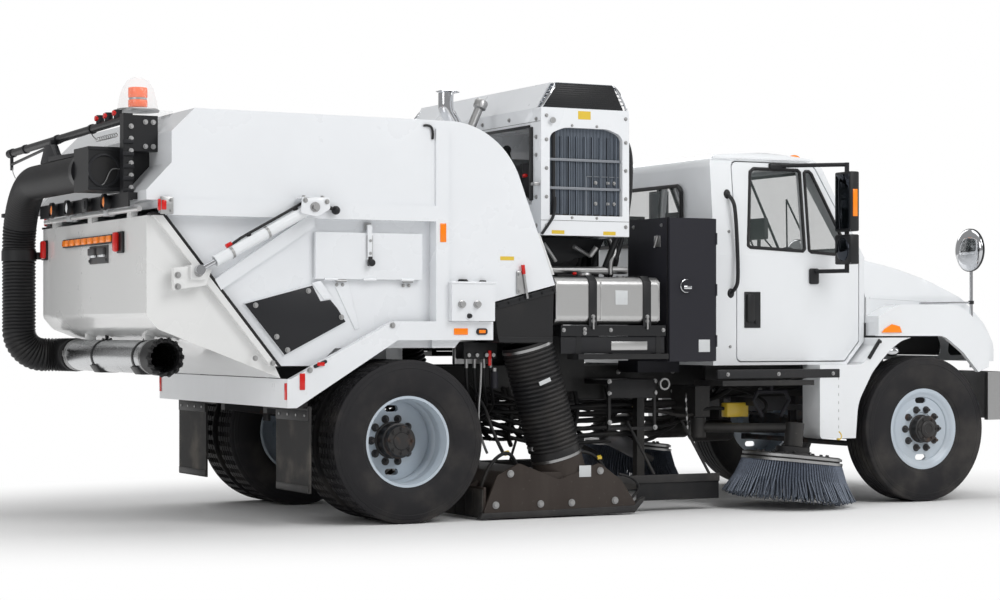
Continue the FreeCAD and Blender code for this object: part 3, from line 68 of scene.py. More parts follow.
class Wire:
    """A node's output whose operators add Math nodes."""

    def __init__(self, graph: "Graph", socket: bpy.types.NodeSocket) -> None:
        """Keep the graph and the socket."""
        self.graph = graph
        self.socket = socket

    def maths(self, operation: str, first: Value, second: Value = 0.0) -> "Wire":
        """Add one Math node.

        Args:
            operation: the node's operation.
            first: the first value or wire.
            second: the second value or wire.

        Returns:
            The node's output.
        """
        return self.graph.node("ShaderNodeMath", {"operation": operation}, {0: first, 1: second})

    def __add__(self, other: Value) -> "Wire":
        """Return self + other."""
        return self.maths("ADD", self, other)

    def __radd__(self, other: Value) -> "Wire":
        """Return other + self."""
        return self.maths("ADD", other, self)

    def __sub__(self, other: Value) -> "Wire":
        """Return self - other."""
        return self.maths("SUBTRACT", self, other)

    def __rsub__(self, other: Value) -> "Wire":
        """Return other - self."""
        return self.maths("SUBTRACT", other, self)

    def __mul__(self, other: Value) -> "Wire":
        """Return self * other."""
        return self.maths("MULTIPLY", self, other)

    def __rmul__(self, other: Value) -> "Wire":
        """Return other * self."""
        return self.maths("MULTIPLY", other, self)

    def __pow__(self, other: Value) -> "Wire":
        """Return self ** other."""
        return self.maths("POWER", self, other)

    def clamp(self) -> "Wire":
        """Return self held between 0 and 1."""
        return self.graph.node("ShaderNodeClamp", {}, {"Value": self, "Min": 0.0, "Max": 1.0})

    def smooth(self, low: float, high: float) -> "Wire":
        """Return a smooth step of self from low to high."""
        return self.graph.node("ShaderNodeMapRange", {"interpolation_type": "SMOOTHSTEP"},
                               {"Value": self, "From Min": low, "From Max": high})


class Graph:
    """Node tree of one material."""

    def __init__(self, name: str) -> None:
        """Make an empty material.

        Args:
            name: the material's name.
        """
        self.material = bpy.data.materials.new(name)
        self.material.use_nodes = True
        self.tree = self.material.node_tree
        self.tree.nodes.clear()

    def node(self, kind: str, settings: Dict, inputs: Dict, output: Union[int, str] = 0) -> Wire:
        """Add any node.

        Args:
            kind: the node's type.
            settings: properties set before the sockets; "stops" fills a colour ramp.
            inputs: socket name or number, and its value or wire.
            output: which output to hand back.

        Returns:
            That output.
        """
        made = self.tree.nodes.new(kind)
        for name, value in settings.items():
            if name == "stops":
                for stop, (place, colour) in zip(self._stops(made, len(value)), value):
                    stop.position = place
                    stop.color = (*colour, 1.0)
            else:
                setattr(made, name, value)
        for key, value in inputs.items():
            self._feed(made.inputs[key], value)
        return Wire(self, made.outputs[output])

    @staticmethod
    def _stops(ramp: bpy.types.Node, count: int) -> List:
        """Give a ramp as many stops as asked.

        Args:
            ramp: the colour ramp's node.
            count: how many stops it gets.

        Returns:
            The stops.
        """
        while len(ramp.color_ramp.elements) < count:
            ramp.color_ramp.elements.new(1.0)
        return list(ramp.color_ramp.elements)

    def _feed(self, socket: bpy.types.NodeSocket, value: Value) -> None:
        """Link a wire to a socket, or set its value.

        Args:
            socket: the socket.
            value: the wire or the value.
        """
        if isinstance(value, Wire):
            self.tree.links.new(value.socket, socket)
        elif isinstance(value, (tuple, list)) and socket.type == "RGBA":
            socket.default_value = (*value[:3], 1.0)
        else:
            socket.default_value = value

    def place(self) -> Wire:
        """Return the point on the object, in metres."""
        return self.node("ShaderNodeTexCoord", {}, {}, "Object")

    def height(self) -> Wire:
        """Return the point's height over the ground."""
        return self.node("ShaderNodeSeparateXYZ", {}, {0: self.place()}, "Z")

    def stretch(self, scale: Point) -> Wire:
        """Return the point scaled along each axis."""
        return self.node("ShaderNodeMapping", {}, {"Vector": self.place(), "Scale": scale})

    def noise(self, scale: float, detail: float = 4.0, where: Optional[Wire] = None) -> Wire:
        """Return fractal noise between 0 and 1."""
        return self.node("ShaderNodeTexNoise", {},
                         {"Vector": where or self.place(), "Scale": scale, "Detail": detail})

    def mix(self, factor: Value, first: Value, second: Value) -> Wire:
        """Return a colour between two."""
        return self.node("ShaderNodeMix", {"data_type": "RGBA"}, {0: factor, 6: first, 7: second}, 2)

    def bump(self, height: Wire, strength: float, distance: float) -> Wire:
        """Return a normal pushed about by a height."""
        return self.node("ShaderNodeBump", {},
                         {"Strength": strength, "Distance": distance, "Height": height})

    def surface(self, **sockets: Value) -> bpy.types.Material:
        """End the tree in a Principled shader.

        Args:
            **sockets: socket names with _ for a space, and their values or wires.

        Returns:
            The finished material.
        """
        named = {key.replace("_", " "): value for key, value in sockets.items()}
        shader = self.node("ShaderNodeBsdfPrincipled", {}, named)
        self.end(shader)
        return self.material

    def end(self, shader: Wire) -> None:
        """Link a shader to the output."""
        out = self.tree.nodes.new("ShaderNodeOutputMaterial")
        self.tree.links.new(shader.socket, out.inputs["Surface"])


# ---------------------------------------------------------------- finishes


@dataclass(frozen=True)
class Enamel:
    """Sprayed paint with a clear coat, faint orange peel, and road film low down."""

    name: str
    colour: Colour
    roughness: float = 0.28
    coat: float = 0.6
    film: float = 0.35
    peel: float = 0.05
    shine: float = 0.5
    film_colour: Colour = (0.36, 0.33, 0.29)

    def material(self) -> bpy.types.Material:
        """Make the paint's material.

        Returns:
            The material.
        """
        graph = Graph(self.name)
        cloud = graph.noise(2.3, 6.0)
        streak = graph.noise(1.0, 5.0, graph.stretch((9.0, 9.0, 1.1)))
        low = 1.0 - graph.height().smooth(0.25, 1.35)
        dust = ((cloud * 0.7 + streak * 0.6 - 0.35).clamp() * low * self.film).clamp()
        speck = graph.noise(38.0, 3.0).smooth(0.64, 0.78) * low * (self.film * 0.5)
        toned = graph.mix(cloud.smooth(0.3, 0.8) * 0.5, self.colour, tuple(c * 0.93 for c in self.colour))
        base = graph.mix((dust + speck).clamp(), toned, self.film_colour)
        rough = (self.roughness + dust * 0.5 + (cloud - 0.5) * 0.08).clamp()
        peel = graph.bump(graph.noise(260.0, 2.0), self.peel, 0.002)
        coat = (self.coat * (1.0 - dust)).clamp()
        return graph.surface(Base_Color=base, Roughness=rough, Coat_Weight=coat, Coat_Roughness=0.08,
                             Specular_IOR_Level=self.shine, Normal=peel)


@dataclass(frozen=True)
class Moulded:
    """Moulded rubber or plastic: fine grain, and dust that lies in patches."""

    name: str
    colour: Colour
    roughness: float = 0.62
    grain: float = 320.0
    depth: float = 0.18
    dust: float = 0.3
    dust_colour: Colour = (0.2, 0.18, 0.155)

    def material(self) -> bpy.types.Material:
        """Make the moulding's material.

        Returns:
            The material.
        """
        graph = Graph(self.name)
        patch = graph.noise(4.0, 7.0).smooth(0.42, 0.78)
        low = 1.0 - graph.height().smooth(0.1, 1.6) * 0.75
        dust = (patch * low * self.dust).clamp()
        grain = graph.noise(self.grain, 3.0)
        clean = graph.mix(grain, self.colour, tuple(c * 1.35 for c in self.colour))
        base = graph.mix(dust, clean, self.dust_colour)
        rough = (self.roughness + dust * 0.25 + (grain - 0.5) * 0.12).clamp()
        return graph.surface(Base_Color=base, Roughness=rough, Specular_IOR_Level=0.35,
                             Normal=graph.bump(grain, self.depth, 0.001))


@dataclass(frozen=True)
class BareMetal:
    """Bare or plated metal with brush lines along one direction."""

    name: str
    colour: Colour
    roughness: float = 0.3
    brush: Point = (3.0, 160.0, 160.0)
    lines: float = 0.12
    stain: float = 0.2

    def material(self) -> bpy.types.Material:
        """Make the metal's material.

        Returns:
            The material.
        """
        graph = Graph(self.name)
        lines = graph.noise(3.0, 4.0, graph.stretch(self.brush))
        stain = graph.noise(5.0, 6.0).smooth(0.5, 0.85) * self.stain
        base = graph.mix(stain, graph.mix(lines * 0.4, self.colour, tuple(c * 0.8 for c in self.colour)),
                         tuple(c * 0.35 for c in self.colour))
        rough = (self.roughness + (lines - 0.5) * self.lines + stain * 0.5).clamp()
        return graph.surface(Base_Color=base, Metallic=1.0, Roughness=rough,
                             Normal=graph.bump(lines, self.lines, 0.0006))


@dataclass(frozen=True)
class Casting:
    """Rough cast or hot-rolled steel with rust freckles and an oily sheen."""

    name: str
    colour: Colour
    rust: float = 0.35
    roughness: float = 0.55
    rust_colour: Colour = (0.16, 0.075, 0.035)

    def material(self) -> bpy.types.Material:
        """Make the casting's material.

        Returns:
            The material.
        """
        graph = Graph(self.name)
        grit = graph.noise(140.0, 5.0)
        freckle = (graph.noise(14.0, 8.0).smooth(0.52, 0.72) * self.rust).clamp()
        clean = graph.mix(grit, self.colour, tuple(c * 1.5 for c in self.colour))
        base = graph.mix(freckle, clean, self.rust_colour)
        rough = (self.roughness + freckle * 0.3 + (grit - 0.5) * 0.2).clamp()
        return graph.surface(Base_Color=base, Metallic=0.25, Roughness=rough,
                             Normal=graph.bump(grit, 0.35, 0.002))


@dataclass(frozen=True)
class Lens:
    """Moulded lamp lens with fluting inside."""

    name: str
    colour: Colour
    glow: float = 0.0
    alpha: float = 1.0
    flutes: float = 180.0

    def material(self) -> bpy.types.Material:
        """Make the lens's material.

        Returns:
            The material.
        """
        graph = Graph(self.name)
        split = graph.node("ShaderNodeSeparateXYZ", {}, {0: graph.place()}, "Y")
        flute = split.maths("SINE", split * (self.flutes * math.tau / 8.0)) * 0.5 + 0.5
        base = graph.mix(flute * 0.5, self.colour, tuple(min(1.0, c * 1.3 + 0.02) for c in self.colour))
        return graph.surface(Base_Color=base, Roughness=0.12 + flute * 0.06, Coat_Weight=0.3,
                             Coat_Roughness=0.04, Specular_IOR_Level=0.25, Alpha=self.alpha,
                             Emission_Color=base, Emission_Strength=self.glow,
                             Normal=graph.bump(flute, 0.25, 0.002))


@dataclass(frozen=True)
class Glazing:
    """Tinted safety glass with a film of dust towards its lower edge."""

    name: str
    colour: Colour = (0.1, 0.13, 0.125)
    clear: float = 0.16

    def material(self) -> bpy.types.Material:
        """Make the glass's material.

        Returns:
            The material.
        """
        graph = Graph(self.name)
        film = graph.noise(3.0, 6.0).smooth(0.45, 0.9) * (1.0 - graph.height().smooth(1.75, 2.1) * 0.6)
        base = graph.mix(film * 0.25, self.colour, (0.5, 0.5, 0.48))
        return graph.surface(Base_Color=base, Roughness=0.03 + film * 0.12, Coat_Weight=1.0,
                             Coat_Roughness=0.02, Alpha=(self.clear + film * 0.12).clamp())


@dataclass(frozen=True)
class Screen:
    """Louvred sheet: bands of punched slots between plain ribs."""

    name: str
    colour: Colour
    pitch: float = 0.011

    def material(self) -> bpy.types.Material:
        """Make the screen's material.

        Returns:
            The material.
        """
        graph = Graph(self.name)
        across = graph.node("ShaderNodeSeparateXYZ", {}, {0: graph.place()}, "X")
        wave = across.maths("SINE", across * (math.tau / self.pitch)) * 0.5 + 0.5
        slot = wave.smooth(0.35, 0.75)
        soot = graph.noise(6.0, 5.0).smooth(0.4, 0.8) * 0.35
        base = graph.mix(slot, graph.mix(soot, self.colour, tuple(c * 0.45 for c in self.colour)),
                         tuple(c * 0.16 for c in self.colour))
        return graph.surface(Base_Color=base, Metallic=0.35, Roughness=(0.42 + slot * 0.3).clamp(),
                             Normal=graph.bump(wave, 0.6, 0.003))


@dataclass(frozen=True)
class Bristle:
    """Crimped steel bristles, darker towards the root, with dust between them."""

    name: str
    colour: Colour = (0.085, 0.1, 0.13)

    def material(self) -> bpy.types.Material:
        """Make the bristles' material.

        Returns:
            The material.
        """
        graph = Graph(self.name)
        tuft = graph.noise(90.0, 2.0)
        low = 1.0 - graph.height().smooth(0.05, 0.32)
        base = graph.mix(tuft, tuple(c * 0.35 for c in self.colour), tuple(c * 2.4 for c in self.colour))
        tip = graph.mix(low * 0.35, base, (0.2, 0.22, 0.25))
        return graph.surface(Base_Color=tip, Metallic=0.45, Roughness=(0.45 + tuft * 0.2).clamp())


class Paint(Enum):
    """Every finish on the truck, by its plain name."""

    WHITE = Enamel("body_white", (0.8, 0.82, 0.845), film=0.3)
    CAB_WHITE = Enamel("cab_white", (0.82, 0.84, 0.86), roughness=0.2, coat=0.9, film=0.22, peel=0.03)
    BLACK = Enamel("chassis_enamel", (0.01, 0.0105, 0.012), 0.42, 0.1, 0.28, 0.12, 0.3)
    PLATE = Enamel("guard_black", (0.016, 0.0165, 0.019), 0.5, 0.05, 0.2, 0.2, 0.25)
    CABINET = Enamel("cabinet_enamel", (0.02, 0.02, 0.026), 0.48, 0.05, 0.08, 0.3, 0.2)
    # Painted shade: a greyer copy of body_white that stands for the shade on the rear door's faces; the
    # door's brackets and the hopper's props take it too.
    BEIGE = Enamel("rear_white_painted_shade", (0.76, 0.765, 0.76), film=0.4)
    HEAD = Enamel("head_enamel", (0.033, 0.0245, 0.021), 0.5, 0.04, 0.14, 0.3, 0.2)
    # Painted shade: the white rims are given a blue-grey that stands for the bluish shade falling on them.
    RIM = Enamel("wheel_white_blue_shade", (0.52, 0.6, 0.68), roughness=0.33, coat=0.35, film=0.45)
    YELLOW = Enamel("label_yellow", (0.72, 0.5, 0.04), roughness=0.35, coat=0.3, film=0.1)
    PALE = Enamel("plate_pale", (0.6, 0.62, 0.63), roughness=0.4, coat=0.2, film=0.1)
    CYLINDER = Enamel("cylinder_white_finish", (0.78, 0.8, 0.82), roughness=0.25, coat=0.7, film=0.1)
    RUBBER = Moulded("hose_rubber", (0.008, 0.008, 0.009), 0.5, dust=0.16)
    FLAP = Moulded("flap_rubber", (0.022, 0.021, 0.021), 0.7, grain=160.0, dust=0.6)
    TYRE = Moulded("tyre_rubber_finish", (0.008, 0.0075, 0.009), 0.66, grain=420.0, dust=0.2)
    BAR = Enamel("screen_bar", (0.2, 0.215, 0.24), roughness=0.4, coat=0.2, film=0.2)
    TRIM = Moulded("black_trim", (0.009, 0.0095, 0.011), 0.42, dust=0.12)
    INTERIOR = Moulded("cab_interior", (0.045, 0.045, 0.048), 0.7, grain=500.0, dust=0.1)
    ALUMINIUM = BareMetal("brushed_aluminium", (0.56, 0.56, 0.555), 0.32, (2.0, 150.0, 220.0))
    NOZZLE = BareMetal("spun_aluminium", (0.54, 0.55, 0.56), 0.26, (160.0, 3.0, 160.0), 0.1, 0.25)
    CHROME = BareMetal("bright_chrome", (0.62, 0.63, 0.65), 0.07, (8.0, 8.0, 8.0), 0.02, 0.05)
    STEEL = BareMetal("zinc_steel", (0.44, 0.44, 0.44), 0.36, (20.0, 20.0, 20.0), 0.1, 0.3)
    # Painted reflection: the mirror glass is made near black, standing in for the dark surroundings it
    # reflects.
    MIRROR = BareMetal("mirror_painted_dark_reflection", (0.045, 0.05, 0.06), 0.05, (2.0, 2.0, 2.0), 0.005, 0.0)
    CAST = Casting("cast_iron", (0.06, 0.06, 0.062))
    HUB = Casting("hub_black", (0.022, 0.021, 0.021), rust=0.3, roughness=0.45)
    NUT = Casting("wheel_nut", (0.04, 0.039, 0.04), rust=0.3)
    ENGINE = Casting("engine_casting", (0.1, 0.1, 0.105), rust=0.15)
    SPRING = Casting("spring_steel_finish", (0.03, 0.03, 0.032), rust=0.3)
    RED = Lens("red_lens", (0.55, 0.01, 0.008), 0.06)
    AMBER = Lens("lamp_amber", (0.9, 0.21, 0.004), 0.06)
    CLEAR = Lens("lamp_clear", (0.75, 0.77, 0.79), 0.0)
    DOME = Lens("beacon_dome", (0.85, 0.87, 0.88), 0.0, 0.15, 260.0)
    BEACON = Lens("beacon_lens", (0.88, 0.11, 0.004), 0.2)
    GLASS = Glazing("cab_glass")
    SCREEN = Screen("radiator_screen", (0.16, 0.19, 0.235))
    BRISTLE = Bristle("broom_bristles")

    def material(self) -> bpy.types.Material:
        """Return this finish's material, made once."""
        ready = bpy.data.materials.get(self.value.name)
        return ready or self.value.material()


NODE_PAINT: Dict[str, Paint] = {node: paint for paint, nodes in (
    (Paint.BLACK, "frame_rails frame_crossmembers cab_steps tool_links engine_stand hose_port "
                  "broom_arm_right broom_arm_left"),
    (Paint.SPRING, "leaf_springs"),
    (Paint.CAST, "front_axle rear_axle knuckle_right knuckle_left tie_rod"),
    (Paint.ENGINE, "drivetrain aux_engine"),
    (Paint.STEEL, "front_bumper"),
    (Paint.WHITE, "rear_bumper fender_rails hopper_shell engine_housing inspection_door_right "
                  "inspection_door_left"),
    (Paint.FLAP, "mud_flaps"),
    (Paint.ALUMINIUM, "side_tanks"),
    (Paint.CABINET, "tool_cabinet cabinet_door"),
    (Paint.CAB_WHITE, "cab_shell splash_panels hood cab_door_right cab_door_left"),
    (Paint.GLASS, "cab_glass door_glass_right door_glass_left"),
    (Paint.INTERIOR, "cab_interior"),
    (Paint.RUBBER, "air_boots air_hoses rear_hose"),
    (Paint.HEAD, "pickup_head"),
    (Paint.SCREEN, "intake_screens"),
    (Paint.CHROME, "exhaust_stack hood_mirrors lift_rods"),
    (Paint.DOME, "beacon"),
    (Paint.TRIM, "hood_trim"),
    # The rear door takes the white with painted shade.
    (Paint.BEIGE, "rear_door"),
    (Paint.RED, "rear_lamps"),
    (Paint.NOZZLE, "hose_nozzle"),
    (Paint.CYLINDER, "lift_barrels"),
    (Paint.TYRE, "front_tyre_right front_tyre_left rear_tyres_right rear_tyres_left"),
    # The rims take the white with painted blue shade.
    (Paint.RIM, "front_rim_right front_rim_left rear_rims_right rear_rims_left"),
    (Paint.BRISTLE, "gutter_broom_right gutter_broom_left"),
) for node in nodes.split()}


USUAL_SLOT: Dict[Paint, str] = {
    Paint.STEEL: "rod_steel", Paint.RUBBER: "black_rubber", Paint.TRIM: "black_rubber",
    Paint.PLATE: "chassis_black", Paint.RED: "lamp_red", Paint.AMBER: "beacon_amber",
    Paint.CHROME: "chrome", Paint.PALE: "chrome", Paint.CLEAR: "chrome", Paint.WHITE: "white_paint",
    Paint.BEIGE: "white_paint", Paint.CAB_WHITE: "white_paint", Paint.CAST: "chassis_black",
    Paint.HUB: "chassis_black", Paint.NUT: "chassis_black", Paint.BLACK: "chassis_black",
    Paint.HEAD: "head_brown", Paint.YELLOW: "rod_steel", Paint.CABINET: "cabinet_grey",
    Paint.ENGINE: "engine_grey", Paint.FLAP: "black_rubber", Paint.TYRE: "tyre_rubber",
    Paint.RIM: "rim_white", Paint.BRISTLE: "bristles", Paint.BEACON: "beacon_amber",
    Paint.BAR: "cabinet_grey", Paint.ALUMINIUM: "tank_aluminium", Paint.MIRROR: "chrome",
    Paint.INTERIOR: "interior", Paint.SPRING: "spring_steel",
}


# ---------------------------------------------------------------- piece making

SHARP = 0.9  # edges that turn more than this, in radians, are rounded
SAME = 0.00002  # points nearer than this, in metres, are one


class Piece:
    """One added piece: its mesh in the making, its finish, its slot and the body it rides on."""

    def __init__(self, name: str, paint: Paint, slot: str = "", body: Optional[str] = "chassis") -> None:
        """Start an empty piece.

        Args:
            name: the piece's name.
            paint: its finish.
            slot: its slot, or "" for the usual one of its finish; it is kept but not used.
            body: the body it rides on, or None to leave it on no body.
        """
        self.name = name
        self.paint = paint
        self.slot = slot or USUAL_SLOT[paint]
        self.body = body
        self.shape = bmesh.new()

    def _soften(self, made: Iterable[bmesh.types.BMVert], edge: float) -> None:
        """Round the sharp edges of what was just made.

        Args:
            made: its points.
            edge: how far the edges are rounded.
        """
        if edge > 0:
            sharp = {line for point in made for line in point.link_edges
                     if line.is_manifold and line.calc_face_angle() > SHARP}
            self._bevel(sharp, edge, 2)

    def _bevel(self, lines: Iterable[bmesh.types.BMEdge], size: float, segments: int) -> None:
        """Round some edges.

        Args:
            lines: the edges.
            size: how far they are rounded.
            segments: how many steps the rounding takes.
        """
        bmesh.ops.bevel(self.shape, geom=list(lines), offset=size * MM, offset_type="OFFSET",
                        segments=segments, profile=0.5, affect="EDGES", clamp_overlap=True, material=-1)

    def box(self, x: Span, y: Span, z: Span, edge: float = 0.0) -> "Piece":
        """Add a box.

        Args:
            x: its limits along the truck.
            y: its limits across the truck.
            z: its limits upwards.
            edge: how far its edges are rounded.

        Returns:
            The piece.
        """
        size = [(high - low) * MM for low, high in (x, y, z)]
        middle = Vector([(low + high) / 2 * MM for low, high in (x, y, z)])
        place = Matrix.Translation(middle) @ Matrix.Diagonal((*size, 1))
        self._soften(bmesh.ops.create_cube(self.shape, size=1.0, matrix=place)["verts"], edge)
        return self

    def rod(self, start: Point, end: Point, radius: float, tip: Optional[float] = None, sides: int = 14,
            edge: float = 0.0) -> "Piece":
        """Add a round rod or cone.

        Args:
            start: the middle of its first end.
            end: the middle of its last end.
            radius: its radius at the start.
            tip: its radius at the end, the same if None.
            sides: how many sides it has.
            edge: how far its edges are rounded.

        Returns:
            The piece.
        """
        first, last = Vector(start) * MM, Vector(end) * MM
        turn = (last - first).to_track_quat("Z", "Y").to_matrix().to_4x4()
        place = Matrix.Translation((first + last) / 2.0) @ turn
        made = bmesh.ops.create_cone(self.shape, cap_ends=True, segments=sides, radius1=radius * MM,
                                     radius2=(radius if tip is None else tip) * MM,
                                     depth=(last - first).length, matrix=place)
        self._soften(made["verts"], edge)
        return self

    def ball(self, centre: Point, radius: Union[float, Point], sides: int = 16) -> "Piece":
        """Add a ball or an egg.

        Args:
            centre: its middle.
            radius: its radius, or a radius along each axis.
            sides: how many sides it has.

        Returns:
            The piece.
        """
        radii = Vector(radius if isinstance(radius, tuple) else (radius, radius, radius)) * MM
        place = Matrix.Translation(Vector(centre) * MM) @ Matrix.Diagonal((*radii, 1))
        bmesh.ops.create_uvsphere(self.shape, u_segments=sides, v_segments=max(6, sides // 2), radius=1.0,
                                  matrix=place)
        return self

    def turned(self, profile: Sequence[Tuple[float, float]], origin: Point, axis: Point, sides: int = 40,
               start: Optional[Point] = None) -> "Piece":
        """Turn a profile about an axis.

        Args:
            profile: (along, radius) of each point.
            origin: where along is 0.
            axis: the axis's direction.
            sides: steps in the full turn.
            start: the direction of the first step, square to the axis.

        Returns:
            The piece.
        """
        along = Vector(axis).normalized()
        out = Vector(start) if start else along.orthogonal().normalized()
        before = set(self.shape.verts)
        foot = Vector(origin) * MM
        points = [self.shape.verts.new(foot + (along * run + out * radius) * MM) for run, radius in profile]
        lines = [self.shape.edges.new(pair) for pair in zip(points, points[1:])]
        bmesh.ops.spin(self.shape, geom=points + lines, cent=foot, axis=along, dvec=(0, 0, 0),
                       angle=math.tau, steps=sides, use_merge=True, use_duplicate=False)
        fresh = [point for point in self.shape.verts if point not in before]
        bmesh.ops.remove_doubles(self.shape, verts=fresh, dist=SAME)
        self._face_out(before)
        return self

    def _face_out(self, before: set) -> None:
        """Point the faces made lately outwards.

        Args:
            before: the points that were there before.
        """
        fresh = {face for point in self.shape.verts if point not in before for face in point.link_faces}
        bmesh.ops.recalc_face_normals(self.shape, faces=list(fresh))

    def plate(self, outline: Sequence[Tuple[float, float]], axis: str, low: float, high: float,
              edge: float = 0.0, corner: float = 0.0) -> "Piece":
        """Add an outline drawn square to an axis and made thick along it.

        Args:
            outline: (x, z) for axis "y", (y, z) for "x", and (x, y) for "z".
            axis: the letter of the axis.
            low: where the plate starts along it.
            high: where it ends.
            edge: how far its edges are rounded.
            corner: how far its outline's corners are rounded.

        Returns:
            The piece.
        """
        order = {"x": (2, 0, 1), "y": (0, 2, 1), "z": (0, 1, 2)}[axis]
        before = set(self.shape.verts)
        flat = [tuple((a, b, low)[i] for i in order) for a, b in outline]
        face = self.shape.faces.new([self.shape.verts.new(Vector(point) * MM) for point in flat])
        run = Vector([(0, 0, high - low)[i] for i in order]) * MM
        made = bmesh.ops.extrude_face_region(self.shape, geom=[face])["geom"]
        tops = [item for item in made if isinstance(item, bmesh.types.BMVert)]
        bmesh.ops.translate(self.shape, verts=tops, vec=run)
        self._face_out(before)
        if corner > 0:
            upright = [line for top in tops for line in top.link_edges if line.other_vert(top) not in tops]
            self._bevel(upright, corner, 4)
        self._soften([point for point in self.shape.verts if point not in before], edge)
        return self

    def pipe(self, points: Sequence[Point], radius: float, sides: int = 3) -> "Piece":
        """Add a bent round tube along a smooth line near some points.

        Args:
            points: where the line starts, what it passes near, and where it ends.
            radius: the tube's radius.
            sides: how finely the tube is rounded.

        Returns:
            The piece.
        """
        curve = bpy.data.curves.new("pipe", "CURVE")
        curve.dimensions = "3D"
        curve.bevel_depth = radius * MM
        curve.bevel_resolution = sides
        curve.use_fill_caps = True
        line = curve.splines.new("NURBS")
        line.points.add(len(points) - 1)
        for spot, point in zip(line.points, points):
            spot.co = (*(Vector(point) * MM), 1)
        line.order_u = 3
        line.use_endpoint_u = True
        line.resolution_u = 8
        holder = bpy.data.objects.new("pipe", curve)
        mesh = bpy.data.meshes.new_from_object(holder)
        self.shape.from_mesh(mesh)
        bpy.data.objects.remove(holder)
        bpy.data.meshes.remove(mesh)
        bpy.data.curves.remove(curve)
        return self

    def swept(self, path: Sequence[Vector], radii: Sequence[float], sides: int = 28) -> "Piece":
        """Add a closed round skin along a path.

        Args:
            path: its points.
            radii: the skin's radius at each point.
            sides: how many sides it has.

        Returns:
            The piece.
        """
        before = set(self.shape.verts)
        rings = []
        out = Vector((0.0, 0.0, 1.0))
        for step, (spot, radius) in enumerate(zip(path, radii)):
            along = (path[min(step + 1, len(path) - 1)] - path[max(step - 1, 0)]).normalized()
            out = (out - along * out.dot(along)).normalized()
            aside = along.cross(out)
            rings.append([self.shape.verts.new((spot + out * a + aside * b) * MM)
                          for a, b in circle(sides, radius)])
        for ring, after in zip(rings, rings[1:]):
            for step in range(sides):
                self.shape.faces.new((ring[step], ring[step - 1], after[step - 1], after[step]))
        self.shape.faces.new(rings[0])
        self.shape.faces.new(rings[-1])
        self._face_out(before)
        return self

    def bolts(self, places: Iterable[Point], size: float = 12, out: Point = LEFT) -> "Piece":
        """Add hexagon heads on washers.

        Args:
            places: where the washers stand.
            size: the radius of a head.
            out: the direction in which the heads stand.

        Returns:
            The piece.
        """
        way = Vector(out).normalized()
        for place in places:
            foot = Vector(place)
            self.rod(foot, foot + way * size * 0.3, size * 1.45)
            self.rod(foot + way * size * 0.3, foot + way * size * 1.1, size, size * 0.93, sides=6)
        return self

    def around(self, count: int, centre: Point, axis: Point) -> "Piece":
        """Repeat everything so far about an axis, evenly.

        Args:
            count: how many there are then.
            centre: a point on the axis.
            axis: the axis's direction.

        Returns:
            The piece.
        """
        first = self.shape.verts[:] + self.shape.edges[:] + self.shape.faces[:]
        for step in range(1, count):
            copy = bmesh.ops.duplicate(self.shape, geom=first)["geom"]
            points = [item for item in copy if isinstance(item, bmesh.types.BMVert)]
            bmesh.ops.rotate(self.shape, verts=points, cent=Vector(centre) * MM,
                             matrix=Matrix.Rotation(math.tau * step / count, 3, Vector(axis)))
        return self

    def boxes(self, *boxes: Tuple) -> "Piece":
        """Add several boxes, each told as box is."""
        return self._each(self.box, boxes)

    def rods(self, *rods: Tuple) -> "Piece":
        """Add several rods, each told as rod is."""
        return self._each(self.rod, rods)

    def balls(self, *balls: Tuple) -> "Piece":
        """Add several balls, each told as ball is."""
        return self._each(self.ball, balls)

    def pipes(self, *pipes: Tuple) -> "Piece":
        """Add several pipes, each told as pipe is."""
        return self._each(self.pipe, pipes)

    def _each(self, make: Callable[..., "Piece"], told: Sequence[Tuple]) -> "Piece":
        """Call one of the makers for each of its sets of sizes.

        Args:
            make: the maker.
            told: what it is told each time.

        Returns:
            The piece.
        """
        for sizes in told:
            make(*sizes)
        return self

    def both(self) -> "Piece":
        """Repeat everything so far on the truck's other side.

        Returns:
            The piece.
        """
        copy = bmesh.ops.duplicate(self.shape, geom=self.shape.verts[:] + self.shape.edges[:]
                                   + self.shape.faces[:])["geom"]
        bmesh.ops.scale(self.shape, vec=(1.0, -1.0, 1.0),
                        verts=[item for item in copy if isinstance(item, bmesh.types.BMVert)])
        faces = [item for item in copy if isinstance(item, bmesh.types.BMFace)]
        bmesh.ops.reverse_faces(self.shape, faces=faces)
        return self

    def done(self, crease: float = 0.6) -> bpy.types.Object:
        """Finish the piece: make its object, dress it, and set it riding.

        Args:
            crease: edges that turn more than this, in radians, stay sharp.

        Returns:
            The piece's object.
        """
        data = bpy.data.meshes.new(self.name)
        self.shape.to_mesh(data)
        self.shape.free()
        data.materials.append(self.paint.material())
        data.shade_smooth()
        data.set_sharp_from_angle(angle=crease)
        made = bpy.data.objects.new(self.name, data)
        bpy.context.scene.collection.objects.link(made)
        if self.body:
            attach(made, self.body)
        LOG.info("  %s: %d faces on %s", self.name, len(data.polygons), self.body)
        return made


def circle(count: int, radius: float, turn: float = 0.0) -> List[Tuple[float, float]]:
    """Space points evenly on a circle about 0.

    Args:
        count: how many points there are.
        radius: the circle's radius.
        turn: where the first one stands, in radians.

    Returns:
        The points.
    """
    angles = [turn + math.tau * step / count for step in range(count)]
    return [(radius * math.cos(angle), radius * math.sin(angle)) for angle in angles]


def hoop(low: float, high: float, inner: float, outer: float) -> List[Tuple[float, float]]:
    """Return the closed profile of a flat ring, for Piece.turned."""
    return [(low, inner), (low, outer), (high, outer), (high, inner), (low, inner)]


def beside(side: int, near: float, far: float) -> Span:
    """Return a span across the truck on one of its sides, low end first."""
    return (near, far) if side > 0 else (-far, -near)


